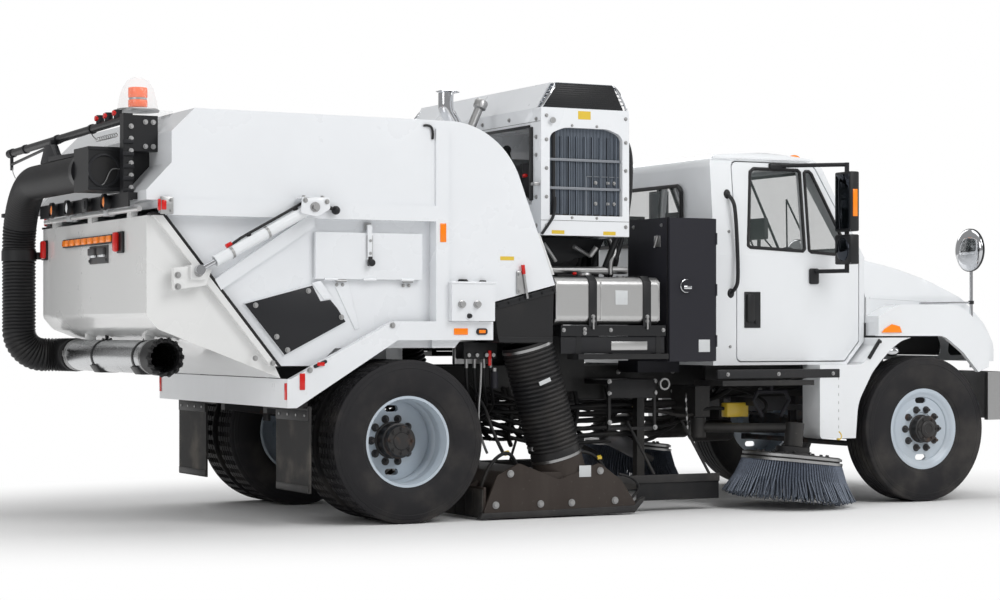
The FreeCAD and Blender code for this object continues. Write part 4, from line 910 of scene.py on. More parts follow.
def bent_path(corners: Sequence[Point], bends: Sequence[float], step: float) -> List[Vector]:
    """Return points along straight runs joined by round bends.

    Args:
        corners: the start, every corner, and the end.
        bends: the radius of the bend at each corner.
        step: how far apart the points are.

    Returns:
        The points, from the start to the end.
    """
    spots = [Vector(corner) for corner in corners]
    marks = [spots[0]]
    for before, corner, after, bend in zip(spots, spots[1:], spots[2:], bends):
        back, ahead = (before - corner).normalized(), (after - corner).normalized()
        half = back.angle(ahead) / 2.0
        centre = corner + (back + ahead).normalized() * bend / math.sin(half)
        first, last = corner + back * bend / math.tan(half), corner + ahead * bend / math.tan(half)
        sweep = math.pi - 2.0 * half
        count = max(2, round(bend * sweep / step))
        head, tail = (first - centre).normalized(), (last - centre).normalized()
        marks += [centre + head.slerp(tail, part / count) * bend for part in range(count + 1)]
    marks.append(spots[-1])
    path = [marks[0]]
    for before, after in zip(marks, marks[1:]):
        count = max(1, round((after - before).length / step))
        path += [before.lerp(after, part / count) for part in range(1, count + 1)]
    return path


# ---------------------------------------------------------------- wheels

TREAD_HALF = ((92, 293), (106, 292), (113, 300), (119.5, 316), (122.5, 318),
              (129, 338), (135, 370), (137.6, 402), (137.9, 425), (136.6, 450),
              (134, 466), (135.8, 469), (134, 477), (131, 492), (127.2, 497),
              (126.2, 510), (122.5, 519), (116, 522.5), (72, 523), (70, 511),
              (62, 511), (60, 523), (29, 523), (27, 511), (19, 511), (17, 523))


@dataclass
class RoadWheels:
    """Grooved tyres, wheel nuts, hub covers and rim steps of the six wheels."""

    front: float = 2630
    rear: float = -1490
    height: float = 523
    front_track: float = 1040
    dual_outer: float = 1074
    dual_inner: float = 740
    nut_circle: float = 142.9
    steps: int = 96
    rib_half: float = 112
    rib_radius: float = 520.5
    block_area: float = 0.0006
    pocket: Span = (4, -7)

    def build(self) -> None:
        """Build both sides' wheels."""
        for side, name in SIDES:
            single, twin = (side * self.front_track,), (side * self.dual_outer, side * self.dual_inner)
            self._tyres("front_tyre_" + name, "front_wheel_" + name, self.front, single, False)
            self._tyres("rear_tyres_" + name, "rear_wheels_" + name, self.rear, twin, True)
            self._front_hub(side, name)
            self._rear_hub(side, name)

    def _tyres(self, node: str, body: str, along: float, rows: Sequence[float], driven: bool) -> None:
        """Build the tyres that replace one node.

        Args:
            node: the node's name.
            body: the body they ride on.
            along: where the axle stands along the truck.
            rows: where the tyres stand across it.
            driven: whether the ribs are cut into blocks.
        """
        piece = Piece(node + "_treaded", Paint.TYRE, body=body)
        outline = list(TREAD_HALF) + [(-across, radius) for across, radius in reversed(TREAD_HALF)]
        for middle in rows:
            piece.turned(outline + outline[:1], (along, middle, self.height), LEFT, self.steps, DOWN)
            if driven:
                self._sipes(piece, along, middle)
        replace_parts(piece.done(0.45), node)

    def _sipes(self, piece: Piece, along: float, middle: float) -> None:
        """Sink a pocket in every second block of the ribs.

        Args:
            piece: the tyre.
            along: where its axle stands along the truck.
            middle: where it stands across the truck.
        """
        blocks = []
        for face in piece.shape.faces:
            centre = face.calc_center_median() / MM
            across = abs(centre.y - middle)
            radius = math.hypot(centre.x - along, centre.z - self.height)
            if across < self.rib_half and radius > self.rib_radius and face.calc_area() > self.block_area:
                angle = math.atan2(centre.z - self.height, centre.x - along)
                if round(angle / math.tau * self.steps - 0.5) % 2 == 0:
                    blocks.append(face)
        margin, depth = self.pocket
        bmesh.ops.inset_individual(piece.shape, faces=blocks, thickness=margin * MM, depth=depth * MM)

    def _front_hub(self, side: int, name: str) -> None:
        """Dress one front rim: nuts, hub cover with its oil cap, and the pressed steps.

        Args:
            side: -1 on the right, 1 on the left.
            name: the side's name.
        """
        body = "front_wheel_" + name
        face = (self.front, side * (self.front_track + 70), self.height)
        out = (0, side, 0)
        self._nuts("front_nuts_" + name, body, face, out, 6)
        (Piece("front_hub_cover_" + name, Paint.HUB, body=body)
         .turned([(1, 0), (1, 102), (8, 102), (12, 95.5), (58, 92.5), (64, 97), (72, 97), (76, 89), (84, 86),
             (86, 62), (92, 60), (98, 52), (99, 34), (95, 30), (95, 0)], face, out, 48)
         .bolts([(self.front + x, face[1] + side * 85, self.height + z) for x, z in circle(6, 74)], 8, out)
         .done())
        (Piece("front_rim_steps_" + name, Paint.RIM, body=body)
         .turned([(0, 116), (6, 120), (6, 166), (0, 178)], face, out, 64)
         .turned([(0, 226), (10, 232), (16, 246), (20, 252), (30, 262), (34, 276), (36.5, 290),
             (33.5, 292.5), (30, 291.5)], face, out, 64)
         .done())

    def _rear_hub(self, side: int, name: str) -> None:
        """Dress one pair of dished rear rims: nuts, axle hub and the stepped barrel.

        Args:
            side: -1 on the right, 1 on the left.
            name: the side's name.
        """
        body = "rear_wheels_" + name
        face = (self.rear, side * 927, self.height)
        out = (0, side, 0)
        self._nuts("rear_nuts_" + name, body, face, out, 0)
        (Piece("rear_hub_cover_" + name, Paint.HUB, body=body)
         .turned([(1, 0), (1, 120), (12, 120), (16, 109.5), (92, 107), (96, 114), (112, 114), (116, 103.5),
             (150, 101), (157, 96), (158, 60), (164, 54), (166, 0)], face, out, 48)
         .bolts([(self.rear + x, face[1] + side * 158, self.height + z) for x, z in circle(8, 78)], 10, out)
         .done())
        (Piece("rear_rim_steps_" + name, Paint.RIM, body=body)
         .turned([(0, 274.5), (4, 262), (16, 258), (60, 258.5), (74, 264), (86, 274.5)], face, out, 72)
         .turned([(135, 274.5), (150, 266), (196, 265.5), (206, 270.5), (228, 271.5), (240, 277),
             (251.5, 284), (252.5, 293.5), (248.5, 294.5), (247, 291.5)], face, out, 72)
         .done())

    def _nuts(self, name: str, body: str, face: Point, out: Point, lift: float) -> None:
        """Add the ring of wheel nuts with their studs.

        Args:
            name: the piece's name.
            body: the body it rides on.
            face: the middle of the rim's face.
            out: the direction away from the truck.
            lift: how far the nuts stand off that face.
        """
        foot = (face[0] + self.nut_circle, face[1] + out[1] * lift, face[2])
        tip = (foot[0], foot[1] + out[1] * 40, foot[2])
        (Piece(name, Paint.NUT, body=body).bolts([foot], 18.5, out).rod(foot, tip, 10.5, sides=10)
         .around(10, face, LEFT).done())


# ---------------------------------------------------------------- sweeping gear


@dataclass
class SweepGear:
    """Ribbed air hoses, the boots' flanges, the pick-up head's fittings and the bristles of both brooms."""

    hose_top: Point = (-547, 1015, 1149)
    hose_end: Point = (-320, 1015, 385)
    hose_radius: float = 175
    pitch: float = 29.5
    hub: Point = (1495, -1130, 330)
    tilt: float = 6
    seed: int = 7
    bend: float = 0.42
    rows: Tuple[Tuple[float, float, float, int], ...] = (
        (245, 360, 292, 76), (278, 392, 285, 88), (305, 420, 277, 100), (325, 445, 268, 110),
        (337, 464, 258, 118))

    def build(self) -> None:
        """Build the hoses, the head's fittings and the brooms."""
        self._hoses()
        self._clamps()
        self._head()
        for side, name in SIDES:
            self._broom(side, name)

    def _hoses(self) -> None:
        """Corrugated hoses with plain cuffs."""
        start, run = Vector(self.hose_top), Vector(self.hose_end) - Vector(self.hose_top)
        big, small = self.hose_radius, self.hose_radius - 13
        outline = [(0, 150), (0, small + 6), (50, small + 6)]
        along = 52
        while along + self.pitch < run.length - 50:
            outline += [(along, small), (along + 7, big - 2), (along + 13.5, big), (along + 20, big - 2),
                (along + self.pitch - 2, small)]
            along += self.pitch
        outline += [(run.length - 48, small + 6), (run.length + 30, small + 6), (run.length + 30, 150)]
        piece = Piece("air_hoses_ribbed", Paint.RUBBER)
        piece.turned(outline + outline[:1], tuple(start), tuple(run), 56).both()
        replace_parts(piece.done(0.9), "air_hoses")

    def _clamps(self) -> None:
        """Band clamps and a tag on each hose, and the boots' bolted flanges."""
        way = (Vector(self.hose_end) - Vector(self.hose_top)).normalized()
        bands = Piece("hose_clamps", Paint.STEEL)
        for at in (28, 785):
            spot = Vector(self.hose_top) + way * at
            bands.turned(hoop(-9, 9, 168.5, 172.5), tuple(spot), tuple(way), 56)
            bands.box((spot.x - 200, spot.x - 165), (985, 1045), (spot.z + 35, spot.z + 65), 4)
        bands.both().done()
        (Piece("hose_tags", Paint.PALE)
         .plate([(-548, 893), (-466, 925), (-456, 900), (-538, 868)], "y", 1184, 1192.5, 2).both().done())
        (Piece("boot_flanges", Paint.BLACK)
         .plate([(-876, 1402), (-866, 1366), (-428, 1478), (-424, 1520)], "y", 1178, 1188, 2)
         .plate([(-846, 1190), (-836, 1155), (-444, 1155), (-438, 1190)], "y", 1178, 1186, 2)
         .bolts([(-850 + 83 * step, 1188, 1392 + 21.5 * step) for step in range(6)], 8).both().done())

    def _head(self) -> None:
        """Bolts, plates, hoses, wear runners, edges and rubber curtains of the pick-up head."""
        heads = Piece("head_bolts", Paint.STEEL)
        for x, z in ((-759, 299), (-867, 98), (-536, 95), (-303, 95), (28, 99), (-85, 300)):
            heads.turned([(0, 24), (7, 24), (8, 19), (14, 16), (17, 0)], (x, 1190, z), LEFT, 20)
        heads.both().done()
        Piece("head_plates", Paint.PALE).box((-245, -155), (1190, 1192.5), (262, 338), 1).both().done()
        (Piece("head_hoses", Paint.RUBBER)
         .pipes(([(-930, 1100, 200), (-900, 1120, 330), (-800, 1130, 430), (-710, 1130, 430),
             (-660, 1100, 330)], 12), ([(-740, 1060, 420), (-820, 1040, 580), (-800, 900, 740),
             (-860, 800, 880)], 12), ([(-260, 1060, 340), (-220, 1060, 420), (-80, 1060, 420),
             (40, 1060, 300), (80, 1060, 180)], 12),
             ([(100, 1120, 270), (200, 1130, 250), (265, 1130, 170), (200, 1130, 110), (150, 1130, 70)], 9))
         .both().done())
        joints = Piece("head_hose_joints", Paint.YELLOW)
        for x, y, z in ((-740, 1100, 425), (-200, 1060, 405), (-20, 1060, 375)):
            joints.rod((x - 16, y, z), (x + 16, y, z + 6), 16, sides=6)
        joints.both().done()
        (Piece("head_runners", Paint.PLATE, "head_brown")
         .plate([(-985, 10), (-965, 48), (178, 60), (205, 90), (262, 118), (252, 86), (180, 12)], "y", 1150,
             1196, 4)
         .box((-900, 140), (1196, 1199), (20, 44), 2).both().done())
        lip = Piece("head_edges", Paint.HEAD)
        lip.boxes(((-945, -925), (-1170, 1170), (60, 215), 4), ((55, 75), (-1170, 1170), (90, 205), 4))
        for y in (-900, -450, 0, 450, 900):
            lip.plate([(-930, 200), (-930, 170), (-850, 120), (-850, 250)], "y", y - 8, y + 8)
            lip.plate([(60, 190), (60, 160), (-100, 120), (-100, 220)], "y", y - 8, y + 8)
        lip.done()
        self._curtains()

    def _curtains(self) -> None:
        """Slit rubber curtains that hang before and behind the head."""
        skirt = Piece("head_curtains", Paint.FLAP)
        for x in (-952, 80):
            for step in range(18):
                low = -1165 + step * 129.6
                skirt.box((x, x + 12), (low, low + 125), (12, 200), 3)
        skirt.done()

    def _broom(self, side: int, name: str) -> None:
        """Build one broom's rows of steel bristles below a banded disc, tipped forward.

        Args:
            side: -1 on the right, 1 on the left.
            name: the side's name.
        """
        body = "gutter_broom_" + name
        rng = random.Random(self.seed + side)
        tufts = Piece("broom_bristles_" + name, Paint.BRISTLE, body=body)
        for root, tip, drop, count in self.rows:
            for (x, y), (u, v) in zip(circle(count, 1), circle(count, 1, 0.03)):
                lean = 1 + rng.uniform(-0.028, 0.006)
                fall = -drop * (1 + rng.uniform(-0.035, 0))
                mid = root + (tip - root) * self.bend
                twist = rng.uniform(-18, 18)
                end = (u * tip * lean + y * twist, v * tip * lean - x * twist, fall)
                tufts.rod((x * root, y * root, 0), (x * mid, y * mid, fall * 0.55), 6.2, 5.8, 4)
                tufts.rod((x * mid, y * mid, fall * 0.53), end, 5.8, 3.6, 4)
        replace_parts(self._seat(tufts, side).done(0.3), body)
        disc = Piece("broom_disc_" + name, Paint.PLATE, body=body)
        disc.turned([(-20, 0), (-20, 328), (36, 336), (40, 326), (40, 150), (52, 120), (90, 118), (90, 0)],
            (0, 0, 0), UP, 56)
        disc.bolts([(x, y, 40) for x, y in circle(8, 245)], 12, UP)
        disc.bolts([(x, y, 52) for x, y in circle(6, 135)], 9, UP)
        self._seat(disc, side).done()
        band = Piece("broom_bands_" + name, Paint.STEEL, body=body)
        for low, radius in ((-16, 353), (14, 347)):
            band.turned([(low, radius - 16), (low, radius), (low + 16, radius), (low + 19, radius - 4),
                (low + 19, radius - 16), (low, radius - 16)], (0, 0, 0), UP, 64)
        self._seat(band, side).done()

    def _seat(self, piece: Piece, side: int) -> Piece:
        """Tip a piece made about the origin forward and set it on its broom's hub.

        Args:
            piece: the piece.
            side: -1 on the right, 1 on the left.

        Returns:
            The piece.
        """
        place = Matrix.Translation(Vector((self.hub[0], -side * self.hub[1], self.hub[2])) * MM)
        turn = Matrix.Rotation(math.radians(self.tilt), 4, "Y")
        bmesh.ops.transform(piece.shape, matrix=place @ turn, verts=piece.shape.verts[:])
        return piece


# ---------------------------------------------------------------- tail


@dataclass
class Tail:
    """The suction hose at the back with its nozzle, boom and lamps, and the rear door's fittings."""

    hose_x: float = -3365
    hose_y: float = 1120
    hose_top: float = 2225
    nozzle_x: float = -3020
    nozzle_z: float = 1065
    ring_step: float = 6
    ribs: Tuple[float, ...] = (106.5, 112.5, 115, 112.5)

    def build(self) -> None:
        """Build everything at the back."""
        self._hose()
        self._nozzle()
        self._lamps()
        self._round_lamps()
        self._port()
        self._boom()
        self._beacon()
        self._corners()

    def _hose(self) -> None:
        """The hose, smooth along the top and ribbed where it hangs and bends, and its bands."""
        corners = ((self.hose_x, -438, self.hose_top), (self.hose_x, self.hose_y, self.hose_top),
            (self.hose_x, self.hose_y, self.nozzle_z), (self.nozzle_x, self.hose_y, self.nozzle_z),
            (self.nozzle_x, 903, self.nozzle_z))
        path = bent_path(corners, (430, 170, 170), self.ring_step)
        radii = []
        for count, spot in enumerate(path):
            rib = self.ribs[count % 4]
            hangs = spot.z < 1950 and (spot.y > 1000 or spot.x > self.hose_x + 50)
            radii.append(rib if hangs else 112.5 + (rib - 112.5) * 0.25)
        hose = Piece("rear_hose_ribbed", Paint.RUBBER, "black_rubber", None).swept(path, radii).done(0.9)
        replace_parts(hose, "rear_hose")
        self._hang(hose)
        bands = Piece("rear_hose_bands", Paint.TRIM, body=None)
        for z, tall in ((1745, 36), (2020, 12)):
            bands.turned(hoop(-tall, tall, 112, 118.5), (self.hose_x, self.hose_y, z), UP, 40)
        bands.boxes(((-3440, -3300), (1232, 1252), (1715, 1775), 4), ((-3262, -3210), (1040, 1075),
            (1720, 1770), 4))
        self._hang(bands.done())

    @staticmethod
    def _hang(made: bpy.types.Object) -> None:
        """Bake a piece's placement into its mesh."""
        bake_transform(made)

    def _nozzle(self) -> None:
        """Bands, straps and the toothed rubber mouth of the nozzle."""
        middle = (self.nozzle_x, 0, self.nozzle_z)
        bands = Piece("nozzle_bands", Paint.STEEL, "tank_aluminium", "rear_door")
        for y in (868, 825, -720):
            bands.turned([(y - 8, 104), (y - 7, 108.5), (y + 7, 108.5), (y + 8, 104), (y - 8, 104)], middle,
                LEFT, 48)
            bands.box((-3135, -3122), (y - 12, y + 12), (1055, 1095), 3)
        bands.done()
        straps = Piece("nozzle_straps", Paint.TRIM, body="rear_door")
        for y in (240, -600):
            straps.turned(hoop(y - 14, y + 14, 104, 109.5), middle, LEFT, 48)
            straps.plate([(-3120, 1005), (-3085, 955), (-2955, 955), (-2920, 1005)], "y", y - 70, y + 70, 8)
            straps.box((-3030, -3010), (y - 12, y + 12), (1170, 1215), 3)
            straps.bolts([(-3045, y, 1172), (-2995, y, 1172)], 9, UP)
        straps.done()
        mouth = Piece("nozzle_mouth", Paint.RUBBER, body="rear_door")
        mouth.turned([(-760, 105), (-765, 113), (-920, 116), (-925, 108), (-920, 94), (-860, 94)], middle,
            LEFT, 48)
        for (a, b), (c, d) in zip(circle(14, 110), circle(14, 104, 0.1)):
            mouth.rod((self.nozzle_x + a, -918, self.nozzle_z + b),
                (self.nozzle_x + c, -955, self.nozzle_z + d), 17, 9, 6)
        mouth.done()

    @staticmethod
    def _lamps() -> None:
        """The light bar in its black housing, the tail and plate lamps, and the door's bolts and brackets."""
        housing = Piece("light_bar_housing", Paint.TRIM, body="rear_door")
        housing.box((-3226, -3201), (-520, 560), (1782, 1838), 6)
        for y in (-625, 1035):
            housing.box((-3216, -3201), (y - 55, y + 60), (1715, 1850), 5)
        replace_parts(housing.done(), "rear_lamps")
        amber = Piece("light_bar_lenses", Paint.AMBER, body="rear_door")
        for step in range(8):
            low = -500 + step * 131
            amber.box((-3238, -3224), (low, low + 120), (1789, 1831), 10)
        amber.done()
        red = Piece("tail_lamps", Paint.RED, body="rear_door")
        for y in (-590, 1000):
            red.box((-3248, -3214), (y - 30, y + 30), (1722, 1848), 16)
        red.done()
        (Piece("plate_lamp_bracket", Paint.CAST, body="rear_door")
         .boxes(((-3208, -3200), (-360, 20), (1660, 1775), 3), ((-3232, -3208), (-330, -200), (1715, 1760),
             6), ((-3232, -3208), (-140, -10), (1715, 1760), 6))
         .bolts([(-3208, -340, 1680), (-3208, 0, 1680), (-3208, -170, 1740)], 10, BACK).done())
        (Piece("plate_lamp_lenses", Paint.CLEAR, body="rear_door")
         .boxes(((-3228, -3210), (-320, -210), (1700, 1716), 4), ((-3228, -3210), (-130, -20), (1700, 1716),
             4))
         .done())
        hinges = Piece("rear_door_fittings", Paint.STEEL, body="rear_door")
        for side in (-1, 1):
            for z in (1567, 1497):
                hinges.bolts([(-3035, side * 1194, z)], 14, (0, side, 0))
            hinges.bolts([(-2516, side * 1146, 1060), (-2400, side * 1146, 1030)], 12, (0, side, 0))
            hinges.bolts([(-2910, side * 1221, 1585)], 20, (0, side, 0))
        hinges.done()
        (Piece("rear_door_brackets", Paint.BEIGE, body="rear_door")
         .plate([(-3060, 1475), (-3060, 1612), (-2900, 1628), (-2815, 1605), (-2850, 1505)], "y", 1140, 1194,
             6)
         .both().done())

    @staticmethod
    def _round_lamps() -> None:
        """Lenses and bezels of the round lamps in the band above the door, and a blank plate's frame."""
        bezel = Piece("round_lamp_bezels", Paint.TRIM)
        amber = Piece("round_lamp_amber", Paint.AMBER)
        clear = Piece("round_lamp_clear", Paint.CLEAR)
        for y, lens in ((425, amber), (83, clear), (-694, amber)):
            bezel.turned([(0, 36), (0, 52), (22, 50), (24, 44), (12, 37), (0, 36)], (-3326, y, 2026), BACK,
                32)
            lens.ball((-3334, y, 2026), (12, 37, 37), 24)
        bezel.boxes(((-3346, -3328), (-352, -256), (1982, 2070), 10), ((-3352, -3345), (-335, -273),
            (2000, 2052), 4))
        bezel.done()
        amber.done()
        clear.done()

    @staticmethod
    def _port() -> None:
        """The round port on the hose box's side, its bars, wire handle and coiled line, and bolts."""
        port = Piece("port_ring", Paint.PLATE)
        port.turned([(0, 86), (0, 104), (10, 104), (14, 98), (14, 90), (0, 86)], (-3370, -800, 2215), RIGHT,
            44)
        port.boxes(((-3474, -3230), (-806, -798), (2094, 2112), 3), ((-3474, -3230), (-806, -798),
            (2338, 2356), 3))
        for step in range(5):
            port.box((-3296, -3226), (-945, -927), (2075 + step * 75, 2100 + step * 75), 4)
        port.plate([(150, 2335), (290, 2455), (410, 2455), (520, 2335)], "x", -3392, -3338, 6, 20)
        port.plate([(-460, 2335), (-440, 2352), (300, 2372), (300, 2335)], "x", -3400, -3330, 4)
        port.done()
        (Piece("port_mouth", Paint.RUBBER)
         .turned([(0.5, 0), (0.5, 87), (1, 87), (1, 0)], (-3370, -800, 2215), RIGHT, 44).done())
        wires = Piece("port_wires", Paint.STEEL)
        wires.rod((-3253, -812, 2085), (-3253, -812, 2370), 7)
        wires.pipe([(-3390, -818, 2124), (-3372, -818, 2128), (-3335, -818, 2222), (-3300, -818, 2226),
            (-3245, -818, 2224), (-3237, -818, 2150)], 3.5)
        wires.bolts([(-3243, -936, 2105 + 75 * step) for step in range(6)], 11, RIGHT)
        wires.bolts([(-3150, -931, 2360), (-3100, -931, 2360), (-3150, -931, 2510), (-3100, -931, 2510)], 11,
            RIGHT)
        coil = [(-3292 - 13 * math.cos(step * 0.9), -800 + step * 6.2, 2435 + 13 * math.sin(step * 0.9))
            for step in range(64)]
        wires.pipes((coil, 2.8, 2), ([(-3292, -420, 2435), (-3292, -360, 2440), (-3300, -300, 2490)], 4))
        wires.done()

    @staticmethod
    def _boom() -> None:
        """Three small marker lamps, hose sling, end caps and clamps along the boom."""
        black = Piece("boom_fittings", Paint.PLATE)
        red = Piece("boom_markers", Paint.RED)
        for y in (-441, -593, -751):
            x = -3260 - (y + 900) * 0.0471
            z = 2528 - (y + 900) * 0.0296 + 26
            black.rod((x, y, z - 6), (x, y, z + 45), 26, sides=16)
            red.rod((x - 12, y, z + 24), (x - 34, y, z + 24), 21, 16, sides=16)
        for y in (-300, 350, 1000, 1280):
            x = -3260 - (y + 900) * 0.0471
            z = 2528 - (y + 900) * 0.0296
            black.rod((x, y - 18, z), (x, y + 18, z), 31.5, sides=20)
        black.rods(((-3365, 1300, 2462), (-3366.4, 1346, 2461.4), 30, None, 20),
            ((-3365, 1300, 2462), (-3365, 1300, 2345), 11))
        black.box((-3372, -3334), (330, 370), (2450, 2488), 4)
        black.done()
        red.done()
        (Piece("boom_sling", Paint.STEEL)
         .pipe([(-3365, 1300, 2375), (-3365, 1285, 2350), (-3370, 1240, 2315), (-3370, 1190, 2285)], 3.5)
         .done())

    @staticmethod
    def _beacon() -> None:
        """The amber lamp inside the clear dome, its base ring and bulb holder."""
        lamp = Piece("beacon_lamp", Paint.BEACON)
        for low, high in ((2622, 2668), (2680, 2745)):
            lamp.rod((-3118, -690, low), (-3118, -690, high), 60, sides=28, edge=6)
        lamp.done()
        (Piece("beacon_base", Paint.STEEL, "chrome")
         .turned([(0, 0), (0, 132), (10, 134), (16, 129), (16, 0)], (-3118, -690, 2594), UP, 44)
         .turned([(68, 0), (68, 55), (80, 55), (80, 0)], (-3118, -690, 2600), UP, 32).done())

    @staticmethod
    def _corners() -> None:
        """Corner brackets with red side lamps, and reflectors on the rear bumper."""
        (Piece("corner_brackets", Paint.STEEL, "chrome").box((-3150, -3068), (1196, 1216), (1934, 2040), 5)
         .bolts([(-3085, 1216, 1955), (-3085, 1216, 2020)], 8).both().done())
        (Piece("corner_lamps", Paint.RED)
         .boxes(((-3162, -3148), (1186, 1220), (1955, 2025), 6), ((-3145, -3115), (1214, 1222), (1960, 2018),
             4), ((-2331, -2322), (1160, 1194), (800, 905), 4))
         .both().done())


# ---------------------------------------------------------------- hopper


@dataclass
class Hopper:
    """Seams, guards, latches, lamps and hoses of the hopper and its lift."""

    lift_top: Point = (-2180, 1242, 1995)
    lift_end: Point = (-2910, 1242, 1600)

    def build(self) -> None:
        """Build the hopper's fittings."""
        self._seam()
        self._guard()
        self._doors()
        self._lift()
        self._box()
        self._rail()
        self._nose()

    @staticmethod
    def _seam() -> None:
        """The black seal between the hopper and its rear door."""
        (Piece("hopper_seal", Paint.RUBBER)
         .plate([(-3196, 1930), (-3196, 1944), (-3100, 1944), (-2343, 1010), (-2358, 1004), (-3106, 1930)],
             "y", 1100, 1149, 2)
         .both().done())

    @staticmethod
    def _guard() -> None:
        """Black guard panels over the hopper's lower corners, their bolts, and two white straps."""
        (Piece("hopper_guards", Paint.PLATE)
         .plate([(-2572, 1396), (-2308, 1080), (-1895, 1287), (-1952, 1372), (-2000, 1425), (-2067, 1415),
             (-2122, 1513)], "y", 1112, 1119, 2)
         .both().done())
        (Piece("hopper_guard_bolts", Paint.STEEL)
         .bolts([(-2503, 1119, 1388), (-1925, 1119, 1316), (-2363, 1119, 1193), (-2290, 1119, 1110),
             (-2150, 1119, 1480)])
         .bolts([(-1609, 1202, 1264), (-2175, 1202, 985)], 13).both().done())
        (Piece("hopper_straps", Paint.WHITE)
         .plate([(-2128, 1530), (-2045, 1425), (-1985, 1432), (-2065, 1545)], "y", 1110, 1122, 3)
         .plate([(-1985, 1555), (-1880, 1560), (-1795, 1245), (-1825, 1235)], "y", 1095, 1108, 3)
         .both().done())

    @staticmethod
    def _doors() -> None:
        """Latches, knobs, hinge knuckles and bolts of the inspection doors."""
        for side, name in SIDES:
            latch = Piece("inspection_latch_" + name, Paint.STEEL, "chrome", "inspection_door_" + name)
            y = side * 1141
            latch.box((-1762, -1722), beside(side, 1141, 1153), (1690, 1835), 4)
            latch.bolts([(-1742, y + side * 12, 1800), (-1742, y + side * 12, 1720)], 10, (0, side, 0))
            latch.done()
            (Piece("inspection_knob_" + name, Paint.TRIM, body="inspection_door_" + name)
             .rod((-1742, y + side * 10, 1660), (-1742, y + side * 45, 1660), 20, 24, 18, 4)
             .box((-1757, -1727), beside(side, 1143, 1161), (1640, 1700), 4).done())
        fittings = Piece("inspection_hinges", Paint.STEEL, "chrome")
        for x in (-1932, -1469):
            fittings.rod((x - 35, 1130, 1545), (x + 35, 1130, 1545), 10)
            fittings.bolts([(x - 20, 1106, 1520), (x + 20, 1106, 1520)], 8)
        fittings.box((-1765, -1719), (1108, 1122), (1868, 1915), 4)
        fittings.bolts([(-1742, 1122, 1893)])
        fittings.both().done()

    def _lift(self) -> None:
        """Brackets, bolts, lock knobs, glands and hoses of the lift cylinders."""
        top, way = Vector(self.lift_top), (Vector(self.lift_end) - Vector(self.lift_top)).normalized()
        up = Vector((-way.z, 0, way.x)) * -1
        if up.z < 0:
            up.negate()
        (Piece("lift_brackets", Paint.WHITE)
         .plate([(-2275, 1955), (-2262, 2058), (-2080, 2050), (-2075, 1985), (-2165, 1935)], "y", 1286, 1298,
             4, 15)
         .box((-2262, -2082), (1199, 1298), (2046, 2056), 3).both().done())
        (Piece("lift_bracket_bolts", Paint.STEEL).bolts([(-2245, 1298, 2035), (-2100, 1298, 2030)], 11)
         .bolts([(-2180, 1298, 1995)], 22).bolts([(-2235, 1250, 2056), (-2110, 1250, 2056)], 12, UP)
         .both().done())
        (Piece("lift_lock_knobs", Paint.TRIM).rod((-2075, 1232, 2005), (-2020, 1232, 1985), 12)
         .ball((-2012, 1232, 1982), 28).both().done())
        bands = Piece("lift_glands", Paint.STEEL, body="lift_barrels")
        for at, out in ((335, 38.5), (600, 40.5)):
            spot = top + way * at
            bands.turned(hoop(-8, 8, 34, out), tuple(spot), tuple(way), 32)
        bands.both().done()
        hose = Piece("lift_hoses", Paint.RUBBER, body="lift_barrels")
        lift = up * 50
        run = [top + way * at + lift * scale for at, scale in ((-15, 1.1), (60, 1.05), (200, 1), (400, 1),
            (550, 0.95), (585, 0.75))]
        hose.pipe([tuple(point) for point in run], 9)
        hose.rods((tuple(top + way * 100 + up * 30), tuple(top + way * 100 + lift), 16),
            (tuple(top + way * 450 + up * 30), tuple(top + way * 450 + lift), 16))
        hose.both().done()
        (Piece("lift_hose_caps", Paint.RED, body="lift_barrels")
         .rod(tuple(top + way * 575 + lift * 0.95), tuple(top + way * 615 + lift * 0.95), 13).both().done())

    @staticmethod
    def _box() -> None:
        """Knobs, plugs and lids of the control boxes ahead of the rear wheels."""
        steel = Piece("control_knobs", Paint.STEEL, "chrome")
        for x in (-1141, -1030):
            steel.turned([(0, 26), (10, 26), (12, 20), (30, 18), (32, 0)], (x, 1245, 1400), LEFT, 24)
        steel.both().done()
        (Piece("control_plugs", Paint.TRIM)
         .rods(((-1086, 1245, 1325), (-1086, 1262, 1325), 17, 14, 18),
             ((-1105, 1190, 1540), (-1105, 1190, 1562), 40, 28, 24), ((-965, 1200, 1536), (-965, 1200, 1556),
             26, 20, 20))
         .both().done())
        Piece("control_lids", Paint.WHITE).box((-1216, -894), (1125, 1251), (1532, 1546), 4).both().done()

    @staticmethod
    def _rail() -> None:
        """Reflectors and marker lamps along the fender rails and the hopper's post."""
        (Piece("side_reflectors", Paint.AMBER)
         .boxes(((-1175, -1075), (1200, 1206), (1204, 1246), 3), ((-998, -950), (1208, 1214), (1214, 1236),
             3), ((-1272, -1230), (1198, 1206), (1798, 1918), 3))
         .both().done())
        (Piece("side_lamps_red", Paint.RED)
         .boxes(((-2243, -2207), (1200, 1206), (862, 965), 3), ((-2128, -2078), (1208, 1214), (1010, 1034),
             3))
         .both().done())
        (Piece("marker_grommets", Paint.TRIM)
         .plate([(-1014, 1204), (-1014, 1246), (-934, 1246), (-934, 1204)], "y", 1199, 1209, 2, 18)
         .plate([(-2142, 994), (-2154, 1014), (-2066, 1052), (-2056, 1032)], "y", 1199, 1209, 2, 10)
         .both().done())

